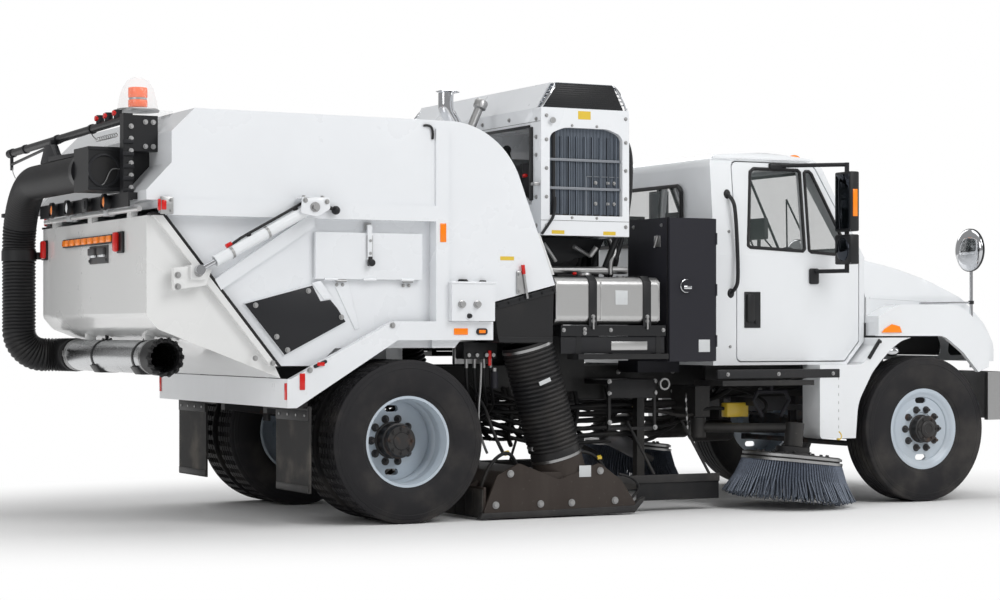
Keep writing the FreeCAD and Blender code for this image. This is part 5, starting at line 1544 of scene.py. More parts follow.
    @staticmethod
    def _nose() -> None:
        """The lever valve with its red grip, a hose, and a blank label at the hopper's front."""
        (Piece("hopper_nose_valve", Paint.STEEL).box((-715, -655), (1186, 1200), (1470, 1620), 4)
         .rod((-668, 1206, 1610), (-640, 1206, 1440), 8).bolts([(-700, 1200, 1600), (-700, 1200, 1490)], 9)
         .pipe([(-1382, 1140, 2490), (-1380, 1170, 2530), (-1330, 1170, 2525), (-1294, 1170, 2470),
             (-1290, 1160, 2394)], 5)
         .both().done())
        (Piece("hopper_nose_grip", Paint.RED).rod((-676, 1206, 1660), (-666, 1206, 1600), 13, 11)
         .both().done())
        (Piece("hopper_labels", Paint.YELLOW, "beacon_amber")
         .box((-831, -730), (1185, 1186.5), (1689, 1714)).both().done())


# ---------------------------------------------------------------- engine housing


@dataclass
class EngineHousing:
    """Screen bars, intake mesh, hoses and seams, parts of the engine, and the exhaust's mouth."""

    side: float = 1050

    def build(self) -> None:
        """Build the housing's fittings."""
        self._screen()
        self._intake()
        self._panel()
        self._engine()
        self._exhaust()

    def _screen(self) -> None:
        """Bars across the screen, its inner hatch, frame bead and bolts."""
        bars = Piece("screen_bars", Paint.BAR)
        for z in (2372, 2182):
            bars.box((-388, 168), (1018, 1030), (z - 9, z + 9), 3)
        bars.boxes(((-94, -90), (1014, 1020), (2004, 2268)), ((-94, 160), (1014, 1020), (2264, 2268)))
        bars.both().done()
        (Piece("screen_gasket", Paint.RUBBER)
         .boxes(((-392, -372), (995, 1012), (2004, 2520), 4), ((-384, 164), (1000, 1012), (1992, 2012), 3))
         .rod((-340, 1008, 2010), (-340, 1008, 2560), 15).both().done())
        (Piece("screen_studs", Paint.STEEL)
         .bolts([(x, 1016, z) for x in (-20, 75, 125) for z in (2225, 2085)], 9)
         .bolts([(x, self.side, z) for x in (-415, 195) for z in (1930, 2120, 2310, 2500, 2660)], 9)
         .bolts([(x, self.side, z) for x in (-220, -30) for z in (1985, 2600)], 7).both().done())

    @staticmethod
    def _intake() -> None:
        """Fine black mesh over the raised intake, and the chrome grab rods at its corners."""
        mesh = Piece("intake_mesh", Paint.TRIM, "screen_grey")
        mesh.plate([(-428, 2719), (178, 2719), (96, 2880), (-332, 2880)], "y", 1040.5, 1044.5, 1)
        for step in range(11):
            z = 2730 + step * 14.2
            mesh.box((-418 + step * 8.6, 170 - step * 7.2), (1044, 1046.5), (z, z + 5))
        mesh.both().done()
        rods = Piece("intake_grab_rods", Paint.CHROME)
        for x, lean in ((-445, 115), (212, -95)):
            rods.pipe([(x, 1020, 2700), (x, 1046, 2728), (x + lean, 1046, 2878), (x + lean, 990, 2880)], 9)
            for step in range(1, 6):
                part = step / 6
                rods.box((x + lean * part - 16, x + lean * part + 16), (1006, 1030),
                    (2725 + 150 * part, 2731 + 150 * part), 1)
        rods.both().done()

    def _panel(self) -> None:
        """Caps, strips, bolts, props, hoses, seams and blank labels on the housing's skins."""
        (Piece("housing_caps", Paint.TRIM)
         .rod((-377, self.side, 2628), (-377, self.side + 20, 2628), 36, 30, 24)
         .boxes(((-468, -454), (-940, -900), (2100, 2590), 4), ((-468, -454), (-900, -240), (2585, 2605), 4),
             ((222, 240), (-960, -900), (2360, 2540), 6))
         .pipes(([(240, -930, 2540), (300, -930, 2500), (300, -930, 2200), (270, -920, 1990),
             (200, -900, 1840), (160, -800, 1620)], 22),
             ([(260, -860, 2300), (330, -860, 2200), (320, -860, 1950), (240, -840, 1720)], 16))
         .done())
        (Piece("housing_fittings", Paint.STEEL)
         .rod((-377, -self.side - 19, 2628), (-377, -self.side - 26, 2628), 20, sides=20)
         .bolts([(-456, y, z) for y, z in ((-985, 2640), (-985, 2400), (-985, 2120), (-985, 1930),
             (-600, 2660), (-200, 2660), (-985, 2520))], 10, BACK)
         .box((-500, -456), (-1040, -985), (2195, 2215), 3)
         .bolts([(-200, -820, 2716.5), (100, -820, 2716.5)], 12, UP).done())
        (Piece("hopper_prop", Paint.BEIGE)
         .rods(((-470, -1030, 1875), (-375, -1060, 1600), 14), ((-470, 1030, 1875), (-375, 1060, 1600), 14))
         .done())
        label = Piece("housing_labels", Paint.YELLOW, "beacon_amber")
        for x, z, high in ((-174, 2644, 55), (-375, 1875, 24), (20, 1873, 24)):
            label.box((x, x + 96), (self.side, self.side + 1.2), (z, z + high))
        label.both().done()
        (Piece("housing_seams", Paint.TRIM)
         .boxes(((-458, 224), (self.side - 1, self.side + 0.8), (1963.5, 1966)),
             ((-456.5, -454.8), (-1040, 1040), (2622, 2624.5)), ((221.5, 223.2), (-1040, 1040),
             (2622, 2624.5)))
         .both().done())
        (Piece("housing_strut", Paint.TRIM)
         .pipes(([(-452, -1054, 1872), (-400, -1058, 1940), (-352, -1058, 2010), (-352, -1054, 2120)], 10),
             ([(-478, -1010, 1862), (-505, -1030, 1740), (-470, -1050, 1620), (-420, -1050, 1530)], 18),
             ([(-1385, 1190, 2540), (-1345, 1196, 2548), (-1318, 1196, 2510), (-1322, 1192, 2455)], 8))
         .both().done())

    @staticmethod
    def _engine() -> None:
        """Manifold, pulleys, fan, filters, belts, hoses, wires and caps of the auxiliary engine."""
        block = Piece("aux_engine_parts", Paint.ENGINE)
        for step in range(4):
            x = -300 + step * 115
            block.rods(((x, -560, 2020), (x, -660, 1940), 28), ((x, -300, 2140), (x, -300, 2200), 30))
            block.box((x - 45, x + 45), (-400, -200), (2145, 2185), 10)
        block.rods(((-340, -680, 1930), (110, -680, 1930), 38), ((110, -420, 1750), (165, -420, 1750), 110,
            None, 28, 6), ((110, -100, 1620), (165, -100, 1620), 90, None, 28, 6),
            ((-360, -470, 1660), (-180, -600, 1660), 55, None, 20, 8), ((-120, -620, 1620), (60, -620, 1620),
            48, None, 20, 8))
        block.box((-340, 100), (-575, -555), (1500, 1600), 6)
        block.both().done()
        (Piece("aux_engine_pipes", Paint.STEEL, "chrome")
         .rods(((-330, -820, 1640), (335, -820, 1645), 26), ((-100, -860, 1800), (60, -800, 1740), 14),
             ((60, -800, 1740), (100, -820, 1800), 20))
         .pipes(([(-330, -860, 1820), (-280, -880, 1740), (-240, -860, 1700)], 12),
             ([(200, -840, 1860), (240, -860, 1780), (180, -860, 1700), (200, -840, 1620)], 16))
         .rod((-400, -400, 2340), (-200, -400, 2340), 75, sides=28, edge=10).both().done())
        black = Piece("aux_engine_hoses", Paint.RUBBER)
        black.pipes(([(-360, -550, 2100), (-430, -600, 2300), (-420, -450, 2460), (-360, -380, 2480)], 32),
            ([(-200, -660, 1600), (-100, -800, 1560), (100, -820, 1600), (160, -700, 1800)], 20),
            ([(170, -420, 1860), (175, -240, 1800), (170, -80, 1710)], 10),
            ([(170, -420, 1640), (175, -260, 1580), (170, -80, 1530)], 10))
        black.rod((130, 0, 2160), (160, 0, 2160), 200, 200, 12, 4)
        black.pipe([(-380, -520, 1580), (-420, -620, 1460), (-400, -660, 1300), (-300, -600, 1220)], 18)
        for step in range(8):
            x, y = -200 + step * 85, -620 + 90 * (step % 3)
            black.pipe([(x, y, 1860), (x + 30, y - 50, 1740), (x - 40, y, 1600), (x + 20, y + 40, 1440),
                (x + 50, y, 1300)], 15 + 4 * (step % 3))
        black.both().done()
        (Piece("aux_engine_filters", Paint.CABINET)
         .rods(((-320, -700, 1520), (-320, -700, 1680), 45, None, 20, 6),
             ((-200, -740, 2220), (-200, -740, 2360), 42, None, 20, 6))
         .both().done())
        (Piece("aux_engine_caps", Paint.RED)
         .balls(((-400, -720, 2280), (20, 20, 14), 16), ((-140, -940, 1615), (16, 16, 12), 16)).done())

    @staticmethod
    def _exhaust() -> None:
        """The exhaust's flared mouth and clamp, and the short pre-cleaner beside it."""
        (Piece("exhaust_mouth", Paint.CHROME)
         .turned([(60, 48), (68, 62.5), (74, 62.5), (73, 48), (10, 44), (10, 41), (70, 44)],
             (-790, -300, 2796), UP, 36)
         .turned(hoop(-8, 8, 51, 56), (-600, -300, 2482), (-1, 0, 0.1), 32)
         .rod((-790, -356, 2846), (-790, -244, 2846), 8)
         .plate([(-846, 2868), (-735, 2868), (-710, 2860), (-706, 2866), (-735, 2874), (-846, 2874)], "y",
             -345, -255, 2)
         .done())
        (Piece("precleaner", Paint.STEEL, "chrome")
         .rod((-665, -420, 2600), (-600, -420, 2745), 30, sides=20)
         .turned([(0, 30), (10, 46), (50, 48), (66, 40), (66, 0)], (-600, -420, 2745), (0.41, 0, 0.91), 28)
         .rods(((-560, -420, 2400), (-665, -420, 2620), 16), ((-460, -420, 2420), (-570, -420, 2410), 16))
         .done())


# ---------------------------------------------------------------- middle of the truck


@dataclass
class Midship:
    """Tank straps, cabinet latch, valve blocks, and what hangs under the deck."""

    def build(self) -> None:
        """Build the fittings between the wheels."""
        self._tanks()
        self._cabinet()
        self._valves()
        self._below()

    @staticmethod
    def _tanks() -> None:
        """Straps, caps, bolts, skirts, step treads, blank plates and seams of the side tanks."""
        straps = Piece("tank_straps", Paint.TRIM)
        steel = Piece("tank_fittings", Paint.STEEL)
        for x in (-150, 270):
            straps.plate([(x, 1258), (x + 62, 1258), (x + 62, 1560), (x, 1560)], "y", 1150, 1156, 2)
            straps.plate([(1110, 1600), (1150, 1562), (1156, 1545), (1150, 1535), (1095, 1590), (720, 1590),
                (720, 1600)], "x", x, x + 62, 1)
            steel.bolts([(x + 31, 1156, 1295), (x + 31, 1156, 1325)], 10)
            steel.rod((x + 31, 1162, 1240), (x + 31, 1162, 1320), 7)
        straps.both().done()
        steel.rods(((-50, 920, 1588), (-50, 920, 1622), 50, 46, 28, 5), ((240, 900, 1588), (240, 900, 1604),
            26, None, 20))
        steel.bolts([(-340, 1151, 1235), (20, 1151, 1235), (430, 1151, 1235), (-180, 1151, 1215),
            (-180, 1151, 1240)], 10)
        steel.both().done()
        (Piece("tank_skirts", Paint.PLATE)
         .boxes(((-355, 448), (1120, 1138), (1078, 1193), 3), ((20, 320), (1060, 1172), (1076, 1082), 2))
         .both().done())
        (Piece("tank_step_treads", Paint.ALUMINIUM, "chrome")
         .box((30, 310), (1138.2, 1141.5), (1100, 1158), 1).both().done())
        Piece("tank_plates", Paint.PALE).box((55, 150), (1150, 1153), (1405, 1500), 1).both().done()
        bead = Piece("tank_seams", Paint.ALUMINIUM)
        for x in (-398, -60, 392):
            bead.box((x, x + 8), (1149, 1153), (1300, 1560), 1)
        bead.both().done()

    @staticmethod
    def _cabinet() -> None:
        """Latch, hinges, seams and blank plate of the tool cabinet."""
        (Piece("cabinet_latch", Paint.CHROME, body="cabinet_door")
         .turned([(0, 46), (6, 46), (10, 40), (10, 0)], (612, -1148, 1535), RIGHT, 32)
         .boxes(((580, 644), (-1178, -1158), (1512, 1536), 6), ((585, 600), (-1170, -1148), (1505, 1565), 4))
         .done())
        (Piece("cabinet_latch_well", Paint.TRIM, body="cabinet_door")
         .turned([(10.1, 0), (10.1, 34), (11.5, 34), (11.5, 0)], (612, -1148, 1535), RIGHT, 28).done())
        (Piece("cabinet_seams", Paint.RUBBER)
         .boxes(((477, 482), (-1123, -1119), (1030, 1990)), ((478.5, 480), (-1030, -720), (1100, 1120)))
         .done())
        (Piece("cabinet_hardware", Paint.STEEL).box((472, 480), (-1040, -960), (1800, 1880), 3)
         .rod((464, -980, 1800), (464, -1020, 1880), 8)
         .bolts([(479, y, z) for y in (-680, -1050) for z in (1060, 1950)], 9, BACK).done())
        (Piece("cabinet_plate", Paint.PALE, body="cabinet_door")
         .box((715, 805), (-1150.5, -1148), (1085, 1170), 1).done())

    @staticmethod
    def _valves() -> None:
        """Valve blocks, red levers, lines and air fittings between the rear wheel and the hose."""
        steel = Piece("valve_fittings", Paint.STEEL)
        black = Piece("valve_hoses", Paint.RUBBER)
        black.box((-985, -735), (840, 960), (1045, 1155), 8)
        for x in (-950, -890, -820, -770):
            steel.rods(((x, 955, 1070), (x, 975, 1070), 14, None, 6), ((x, 930, 1048), (x, 930, 985), 13))
            black.pipe([(x, 930, 1000), (x, 930, 880), (x + 50, 860, 800), (x + 100, 780, 720),
                (x + 40, 700, 620), (x - 50, 620, 550)], 11)
        steel.pipe([(-858, 965, 1020), (-862, 970, 880), (-880, 960, 700), (-840, 920, 520),
            (-780, 900, 420)], 9)
        steel.box((-990, -730), (800, 840), (1010, 1170), 4)
        steel.rod((-764, 975, 960), (-764, 975, 985), 18)
        steel.both().done()
        black.both().done()
        Piece("valve_levers", Paint.RED).box((-806, -784), (960, 972), (1000, 1100), 4).both().done()
        (Piece("valve_regulators", Paint.CABINET)
         .rod((-764, 975, 850), (-764, 975, 962), 24, sides=20, edge=5).both().done())

    @staticmethod
    def _below() -> None:
        """Brackets, rams, chains, hoses, dirt shields and air reservoirs in the shade under the deck, and a
        dark plate below the engine housing that paints the shade there.
        """
        (Piece("deck_brackets_and_shade_plate", Paint.PLATE)
         .plate([(225, 545), (225, 895), (610, 895), (610, 545), (590, 545), (590, 765), (245, 765),
             (245, 565), (610, 565), (610, 545)], "y", 745, 765, 2)
         .boxes(((225, 610), (435, 745), (860, 895), 4), ((860, 1880), (1146, 1166), (900, 962), 5),
             ((1330, 1350), (600, 900), (700, 760), 4))
         .rod((300, 400, 555), (800, 400, 315), 20)
         # Painted shade: this dark plate below the engine housing stands in for the shadow between the
         # housing and the tanks.
         .plate([(-420, 1862), (215, 1862), (160, 1760), (-20, 1720), (-220, 1655), (-400, 1655)], "y", 720,
             732, 2)
         .both().done())
        (Piece("head_lift_rams", Paint.ENGINE, "rod_steel")
         .rod((400, 400, 508), (660, 400, 383), 60, sides=24, edge=8).both().done())
        (Piece("deck_faces", Paint.PLATE)
         .boxes(((232, 603), (765.5, 770), (770, 890), 1), ((870, 1870), (1166.5, 1169), (906, 956), 1))
         .both().done())
        ring = Piece("broom_ring_brackets", Paint.CABINET, "chassis_black")
        for first, last in (((1360, 800), (1600, 800)), ((1600, 800), (1630, 740)),
                ((1630, 740), (1560, 630)), ((1360, 800), (1330, 740)), ((1330, 740), (1400, 630))):
            ring.rod((first[0], 900, first[1]), (last[0], 900, last[1]), 14, sides=10)
            ring.ball((last[0], 900, last[1]), 14, 10)
        ring.rod((1480, 900, 800), (1480, 900, 852), 12)
        ring.both().done()
        (Piece("stay_hooks", Paint.YELLOW)
         .pipe([(1872, 1156, 520), (1900, 1156, 500), (1890, 1156, 460), (1862, 1156, 470)],
             8).both().done())
        steel = Piece("deck_fittings", Paint.STEEL)
        for step in range(13):
            wide = 9 if step % 2 else 4
            steel.ball((1872, 1156, 895 - 28.5 * step), (wide, 12 - wide * 0.8, 19), 8)
        steel.rod((1600, 1150, 905), (1600, 860, 870), 9)
        steel.bolts([(235, 766, 880), (600, 766, 880), (235, 766, 600), (600, 766, 560), (235, 766, 800),
            (600, 766, 800)])
        steel.bolts([(x, 431, z) for x in (-900, -500, 0, 500, 950, 1300, 1700) for z in (800, 940)])
        steel.bolts([(940, 1167, 930), (1820, 1167, 930), (1360, 1167, 930)], 10)
        steel.turned(hoop(-8, 8, 30, 42), (655, 800, 860), LEFT, 28)
        for step in range(9):
            tilt = 8 if step % 2 else 3
            steel.ball((830 + 2 * step, 800, 780 - 32 * step), (tilt, 11 - tilt * 0.6, 20), 10)
        steel.both().done()
        Piece("deck_valve_blocks", Paint.YELLOW).box((1175, 1355), (720, 800), (620, 722), 8).both().done()
        lines = Piece("deck_hoses", Paint.RUBBER)
        lines.pipes(([(1170, 760, 680), (1050, 760, 700), (920, 700, 620), (750, 600, 660), (620, 500, 700),
            (450, 460, 780)], 12), ([(1360, 760, 660), (1440, 780, 620), (1500, 860, 700), (1440, 700, 800),
            (1300, 500, 840)], 12), ([(-750, 600, 700), (-400, 500, 660), (100, 480, 700), (600, 480, 660),
            (1100, 460, 720)], 14), ([(-750, 600, 740), (-300, 500, 720), (200, 470, 740), (700, 470, 720),
            (1600, 460, 760), (2200, 460, 820)], 11))
        for step in range(6):
            y, z = 460 + 35 * (step % 3), 440 + 52 * step
            lines.pipe([(-620, y, z + 140), (-200, y - 40, z - 20), (400, y - 20, z + 20),
                (950 + 70 * step, y - 50, z), (1050 + 70 * step, y, 840)], 14 + 4 * (step % 2))
        for step in range(5):
            x = -400 + 260 * step
            lines.pipe([(x, 460, 840), (x + 30, 500, 700), (x - 20, 480, 520), (x + 60, 400, 440)], 16)
        lines.both().done()
        Piece("dirt_shields", Paint.RUBBER).box((285, 945), (1035, 1047), (75, 240), 4).both().done()
        strap = Piece("dirt_shield_straps", Paint.PLATE)
        strap.box((66, 945), (1047, 1059), (196, 250), 3)
        for x in (420, 860):
            strap.rod((x, 1053, 250), (x - 40, 760, 600), 10, sides=12)
        strap.both().done()
        tanks = Piece("air_reservoirs", Paint.BLACK)
        tanks.rods(((950, 550, 700), (1020, 550, 700), 112, None, 28, 20),
            ((-420, 240, 860), (300, 240, 860), 85, None, 28, 20), ((1190, 300, 505), (1520, 300, 505), 78,
            None, 28, 20))
        for x in (1260, 1450):
            tanks.box((x - 15, x + 15), (292, 308), (575, 780), 3)
        tanks.both().done()


# ---------------------------------------------------------------- cab


@dataclass
class Cab:
    """Window seals, handles, mirrors, wipers, lamps and the driver's controls."""

    belt: float = 1755
    half: float = 1012
    lean: float = 0.1146
    rake: float = 0.5043
    front: float = 2205
    rear: float = 920
    mirror_y: float = 1262

    def build(self) -> None:
        """Build the cab's fittings."""
        self._front_seals()
        self._roof()
        for side, name in SIDES:
            self._door(side, name)
            self._mirror(side, name)
        self._controls()

    def _wall(self, x: float, z: float, side: int, out: float=0) -> Point:
        """Find a point on the cab's leaning side.

        Args:
            x: where it is along the truck.
            z: how high it is.
            side: -1 on the right, 1 on the left.
            out: how far it stands off the wall.

        Returns:
            The point.
        """
        return (x, side * (self.half - max(0, z - self.belt) * self.lean + out), z)

    @staticmethod
    def _loop(piece: Piece, points: Sequence[Point], radius: float) -> None:
        """Add a round bead that closes on itself.

        Args:
            piece: the piece that gets it.
            points: its corners.
            radius: its radius.
        """
        for first, last in zip(points, list(points[1:]) + [points[0]]):
            piece.rod(first, last, radius, sides=8)
            piece.ball(first, radius, 8)

    def _front_seals(self) -> None:
        """Seals of the windshield and the rear window, the windshield's middle bar and its wipers."""
        seal = Piece("cab_seals", Paint.RUBBER)
        shield = [(self.front - (z - self.belt) * self.rake, y, z)
            for y, z in ((-790, 1818), (790, 1818), (835, 1860), (755, 2320), (690, 2372), (-690, 2372),
            (-755, 2320), (-835, 1860))]
        self._loop(seal, shield, 13)
        self._loop(seal, [(self.rear - 2, y, z) for y, z in ((-550, 1852), (550, 1852), (598, 1900),
            (598, 2210), (550, 2258), (-550, 2258), (-598, 2210), (-598, 1900))], 14)
        low, high = (self.front - (z - self.belt) * self.rake for z in (1818, 2372))
        seal.rod((low, 0, 1818), (high, 0, 2372), 10)
        for side in (-1, 1):
            pivot = (self.front + 4, side * 360, 1800)
            blade = [(self.front - (z - self.belt) * self.rake + 14, y, z)
                for y, z in ((side * 100, 1860), (side * 340, 2200))]
            seal.rods((pivot, tuple(blade[1]), 7), (tuple(blade[0]), tuple(blade[1]), 6))
            seal.ball(pivot, 20, 12)
        seal.done()

    def _roof(self) -> None:
        """Clearance lamps, grab bars, studs and rain gutters."""
        amber = Piece("roof_lamps", Paint.AMBER)
        for y in (-720, -160, 0, 160, 720):
            amber.ball((1800, y, 2468), (50, 34, 30), 16)
        amber.done()
        bars = Piece("grab_bars", Paint.TRIM)
        bars.pipe([self._wall(1068, 2182, 1, 0), self._wall(1080, 2150, 1, 45),
            self._wall(1098, 2060, 1, 48), self._wall(1098, 1600, 1, 48), self._wall(1080, 1520, 1, 45),
            self._wall(1062, 1491, 1, 0)], 14)
        for z in (2182, 1491):
            bars.ball(self._wall(1065, z, 1), (28, 12, 34), 16)
        bars.both().done()
        (Piece("cab_studs", Paint.STEEL).bolts([self._wall(1060, z, 1) for z in (1920, 1120)], 8)
         .both().done())
        (Piece("cab_gutters", Paint.CAB_WHITE)
         .rod(self._wall(960, 2437, 1, 4), self._wall(1780, 2437, 1, 4), 7, sides=10).both().done())

    def _door(self, side: int, name: str) -> None:
        """Window seals, handle plate, grip and lock of one door.

        Args:
            side: -1 on the right, 1 on the left.
            name: the side's name.
        """
        body = "cab_door_" + name
        seal = Piece("door_seals_" + name, Paint.RUBBER, body=body)
        for outline in (((1215, 1825), (1235, 1813), (1672, 1793), (1690, 1810), (1690, 2352), (1672, 2369),
                (1300, 2369), (1268, 2345)), ((1728, 1800), (1745, 1788), (2060, 1767), (2074, 1785),
                (1790, 2345), (1770, 2362), (1740, 2362), (1728, 2350))):
            self._loop(seal, [self._wall(x, z, side) for x, z in outline], 12)
        seal.done()
        (Piece("door_handle_" + name, Paint.TRIM, body=body)
         .boxes(((1176, 1310), beside(side, 1010, 1019), (1250, 1502), 4),
             ((1190, 1250), beside(side, 1014, 1039), (1290, 1486), 10))
         .rod((1272, side * 1018, 1288), (1272, side * 1026, 1288), 13, sides=18).done())

    def _mirror(self, side: int, name: str) -> None:
        """Black heads and arms, glasses and side marker of one door mirror.

        Args:
            side: -1 on the right, 1 on the left.
            name: the side's name.
        """
        body = "cab_door_" + name
        y = side * self.mirror_y
        span = (y - 94, y + 94)
        (Piece("mirror_heads_" + name, Paint.TRIM, body=body)
         .boxes(((1832, 1909), span, (1926, 2344), 10), ((1832, 1909), span, (1696, 1904), 10))
         .rods(((1870, y, 1636), (1870, y, 2410), 16.5), ((1872, y, 2396), (1500, side * 925, 2396), 14.5),
             ((1870, y, 1650), (1758, side * 1004, 1650), 14.5))
         .boxes(((1430, 1570), beside(side, 925, 962), (2366, 2412), 12),
             ((1720, 1800), beside(side, 1010, 1034), (1560, 1672), 12))
         .done())
        # The glasses carry the painted dark reflection.
        (Piece("mirror_glasses_" + name, Paint.MIRROR, body=body)
         .box((1829, 1833.5), (y - 80, y + 80), (1944, 2326), 1).ball((1833.5, y, 1800), (12, 78, 84), 24)
         .done())
        (Piece("mirror_markers_" + name, Paint.AMBER, body=body)
         .box((1852, 1890), beside(side, self.mirror_y + 93, self.mirror_y + 99), (2030, 2220), 2).done())

    @staticmethod
    def _controls() -> None:
        """Steering columns, hubs and spokes, levers, consoles, a screen on its stand, and gauges."""
        trim = Piece("cab_controls", Paint.INTERIOR)
        for y in (-480, 480):
            trim.rods(((2020, y, 1440), (1815, y, 1630), 26), ((1830, y - 205, 1635), (1830, y + 205, 1635),
                12))
            trim.ball((1812, y, 1640), (20, 45, 45), 18)
            trim.rod((1900, y - 100, 1560), (1860, y - 220, 1600), 8)
        trim.boxes(((1845, 1900), (-240, 240), (1500, 1720), 12), ((1950, 1990), (-115, 115), (1915, 2075),
            10))
        trim.rods(((1980, 0, 1735), (1980, 0, 1930), 14), ((1550, 20, 1050), (1520, 20, 1520), 12))
        trim.ball((1520, 20, 1540), 28)
        trim.box((1300, 1680), (-130, 130), (1010, 1340), 20)
        trim.done()
        dials = Piece("cab_gauges", Paint.STEEL, "chrome")
        for y in (-600, -500, -400, 400, 500, 600, -140, 0, 140):
            x = 1876 if abs(y) > 300 else 1841
            dials.turned([(0, 36), (6, 36), (7, 29), (2, 28), (2, 0)], (x, y, 1620), BACK, 20)
        dials.done()


# ---------------------------------------------------------------- hood and front


@dataclass
class Front:
    """Lamps, grille, latches, markers and mirror rims of the hood, and the bumper's fittings."""

    nose: float = 3388

    def build(self) -> None:
        """Build the front's fittings."""
        self._lamps()
        self._grille()
        self._sides()
        self._bumper()

    def _lamps(self) -> None:
        """Headlamp lenses, bulbs' bowls, and amber turn and side lamps."""
        clear = Piece("headlamp_lenses", Paint.CLEAR, body="hood")
        clear.box((self.nose, self.nose + 8), (656, 850), (1062, 1182), 3)
        for y in (705, 800):
            clear.turned([(8, 44), (14, 36), (14, 0)], (self.nose, y, 1122), AHEAD, 28)
        clear.both().done()
        (Piece("turn_lamps", Paint.AMBER, body="hood")
         .box((self.nose, self.nose + 7), (858, 920), (1072, 1182), 3)
         .plate([(2235, 1217), (2262, 1246), (2325, 1277), (2392, 1262), (2412, 1217)], "y", 1171, 1184, 3)
         .both().done())

    @staticmethod
    def _grille() -> None:
        """Bright grille frame and its bars."""
        chrome = Piece("grille_frame", Paint.CHROME, body="hood")
        for first, last in (((-405, 1052), (405, 1052)), ((405, 1052), (452, 1218)),
                ((452, 1218), (-452, 1218)), ((-452, 1218), (-405, 1052))):
            chrome.rod((3374, *first), (3374, *last), 9, sides=12)
            chrome.ball((3374, *first), 9, 12)
        for step in range(-9, 10):
            chrome.box((3351.5, 3358), (step * 42 - 3, step * 42 + 3), (1052, 1216))
        chrome.done()

    @staticmethod
    def _sides() -> None:
        """Mirror domes and rims, fender ends, rear seal, beads, latches and the lamps in the arches."""
        black = Piece("hood_seal", Paint.RUBBER, body="hood")
        black.box((2216.5, 2219), (1006, 1012.5), (1200, 1470))
        (Piece("hood_mirror_domes", Paint.CHROME, body="hood")
         .ball((3086, 1100, 1820), (41, 154.5, 154.5), 48).both().done())
        (Piece("fender_ends", Paint.CAB_WHITE, body="hood")
         .plate([(1008, 1196), (1170, 1196), (1170, 1270), (1130, 1322), (1008, 1330)], "x", 2217.2, 2223, 2)
         .both().done())
        (Piece("hood_mirror_rims", Paint.TRIM, body="hood")
         .turned(hoop(34, 48, 150, 158), (3050, 1100, 1820), AHEAD, 48)
         .rods(((3094, 1100, 1820), (3116, 1100, 1820), 30, None, 20, 4),
             ((3102, 1100, 1425), (3102, 1100, 1450), 20, None, 16))
         .both().done())
        black.both().done()
        (Piece("hood_beads", Paint.CAB_WHITE, body="hood")
         .plate([(2250, 1462), (2250, 1474), (3020, 1440), (3020, 1432)], "y", 1008.5, 1014,
             2).both().done())
        (Piece("hood_latches", Paint.TRIM)
         .plate([(2238, 1160), (2216, 1174), (2118, 1040), (2140, 1026)], "y", 1161, 1176, 4)
         .rod((2219, 1163, 1152), (2219, 1185, 1152), 12).both().done())
        (Piece("arch_lamps", Paint.CHROME).ball((2370, 1115, 1083), (62, 36, 36), 24)
         .rod((2370, 1115, 1110), (2370, 1115, 1150), 8).both().done())

    @staticmethod
    def _bumper() -> None:
        """Bolts, tow hooks and a blank number plate on the front bumper."""
        (Piece("bumper_bolts", Paint.STEEL)
         .bolts([(3505 - 12, y, z) for y in (360, 420) for z in (680, 830)], 10, AHEAD).both().done())
        (Piece("tow_hooks", Paint.PLATE)
         .pipe([(3300, 390, 600), (3400, 390, 560), (3460, 390, 570), (3460, 390, 600), (3420, 390, 605)],
             16)
         .both().done())
        Piece("front_plate", Paint.PALE).box((3498.5, 3503.5), (-155, 155), (680, 830), 2).done()


# ---------------------------------------------------------------- running gear


@dataclass
class RunningGear:
    """Spring bolts, brake chambers and their lines, flap hangers and rail bolts."""

    front: float = 2630
    rear: float = -1490
    height: float = 523

    def build(self) -> None:
        """Build the running gear's fittings."""
        self._springs()
        self._brakes()
        self._frame()

    def _springs(self) -> None:
        """U-bolts and clips of the springs."""
        bolts = Piece("spring_bolts", Paint.SPRING)
        for x in (self.front, self.rear):
            for dx in (-75, 75):
                for y in (345, 435):
                    bolts.rod((x + dx, y, self.height - 90), (x + dx, y, self.height + 130), 10)
                bolts.box((x + dx - 14, x + dx + 14), (335, 445), (self.height + 118, self.height + 132), 4)
            for dx in (-340, 340):
                bolts.box((x + dx - 12, x + dx + 12), (345, 435), (self.height + 85, self.height + 150), 4)
        bolts.both().done()

    def _brakes(self) -> None:
        """Brake chambers with their push rods and hoses, by the rear axle."""
        (Piece("brake_chambers", Paint.CAST)
         .turned([(0, 0), (0, 60), (20, 78), (70, 80), (78, 86), (90, 86), (98, 78), (150, 76), (168, 50),
             (170, 0)], (self.rear + 150, 420, 600), (1, 0, 0.15), 28)
         .rod((self.rear, 420, 555), (self.rear + 160, 420, 600), 16).both().done())
        (Piece("brake_lines", Paint.RUBBER)
         .pipe([(self.rear + 300, 420, 670), (self.rear + 360, 400, 760), (self.rear + 300, 360, 820),
             (self.rear + 200, 340, 840)], 9)
         .both().done())

    @staticmethod
    def _frame() -> None:
        """Bolts of the rails and flap hangers, the hangers, and strips along the flaps' lower edges."""
        (Piece("rail_bolts", Paint.STEEL)
         .bolts([(x, 431, z) for x in (-2150, -1900, -1150, 2250, 2450, 2900, 3050) for z in (800, 940)])
         .bolts([(-2164, y, 700) for y in (720, 860, 1000, 1140)], 9, AHEAD)
         .bolts([(-2178, y, 700) for y in (720, 860, 1000, 1140)], 9, BACK).both().done())
        (Piece("flap_hangers", Paint.PLATE)
         .boxes(((-2184, -2178), (655, 1195), (665, 735), 2), ((-2182, -2178), (655, 1195), (222, 262), 1))
         .rod((-2171, 440, 742), (-2171, 1190, 742), 16).both().done())


# ---------------------------------------------------------------- stage


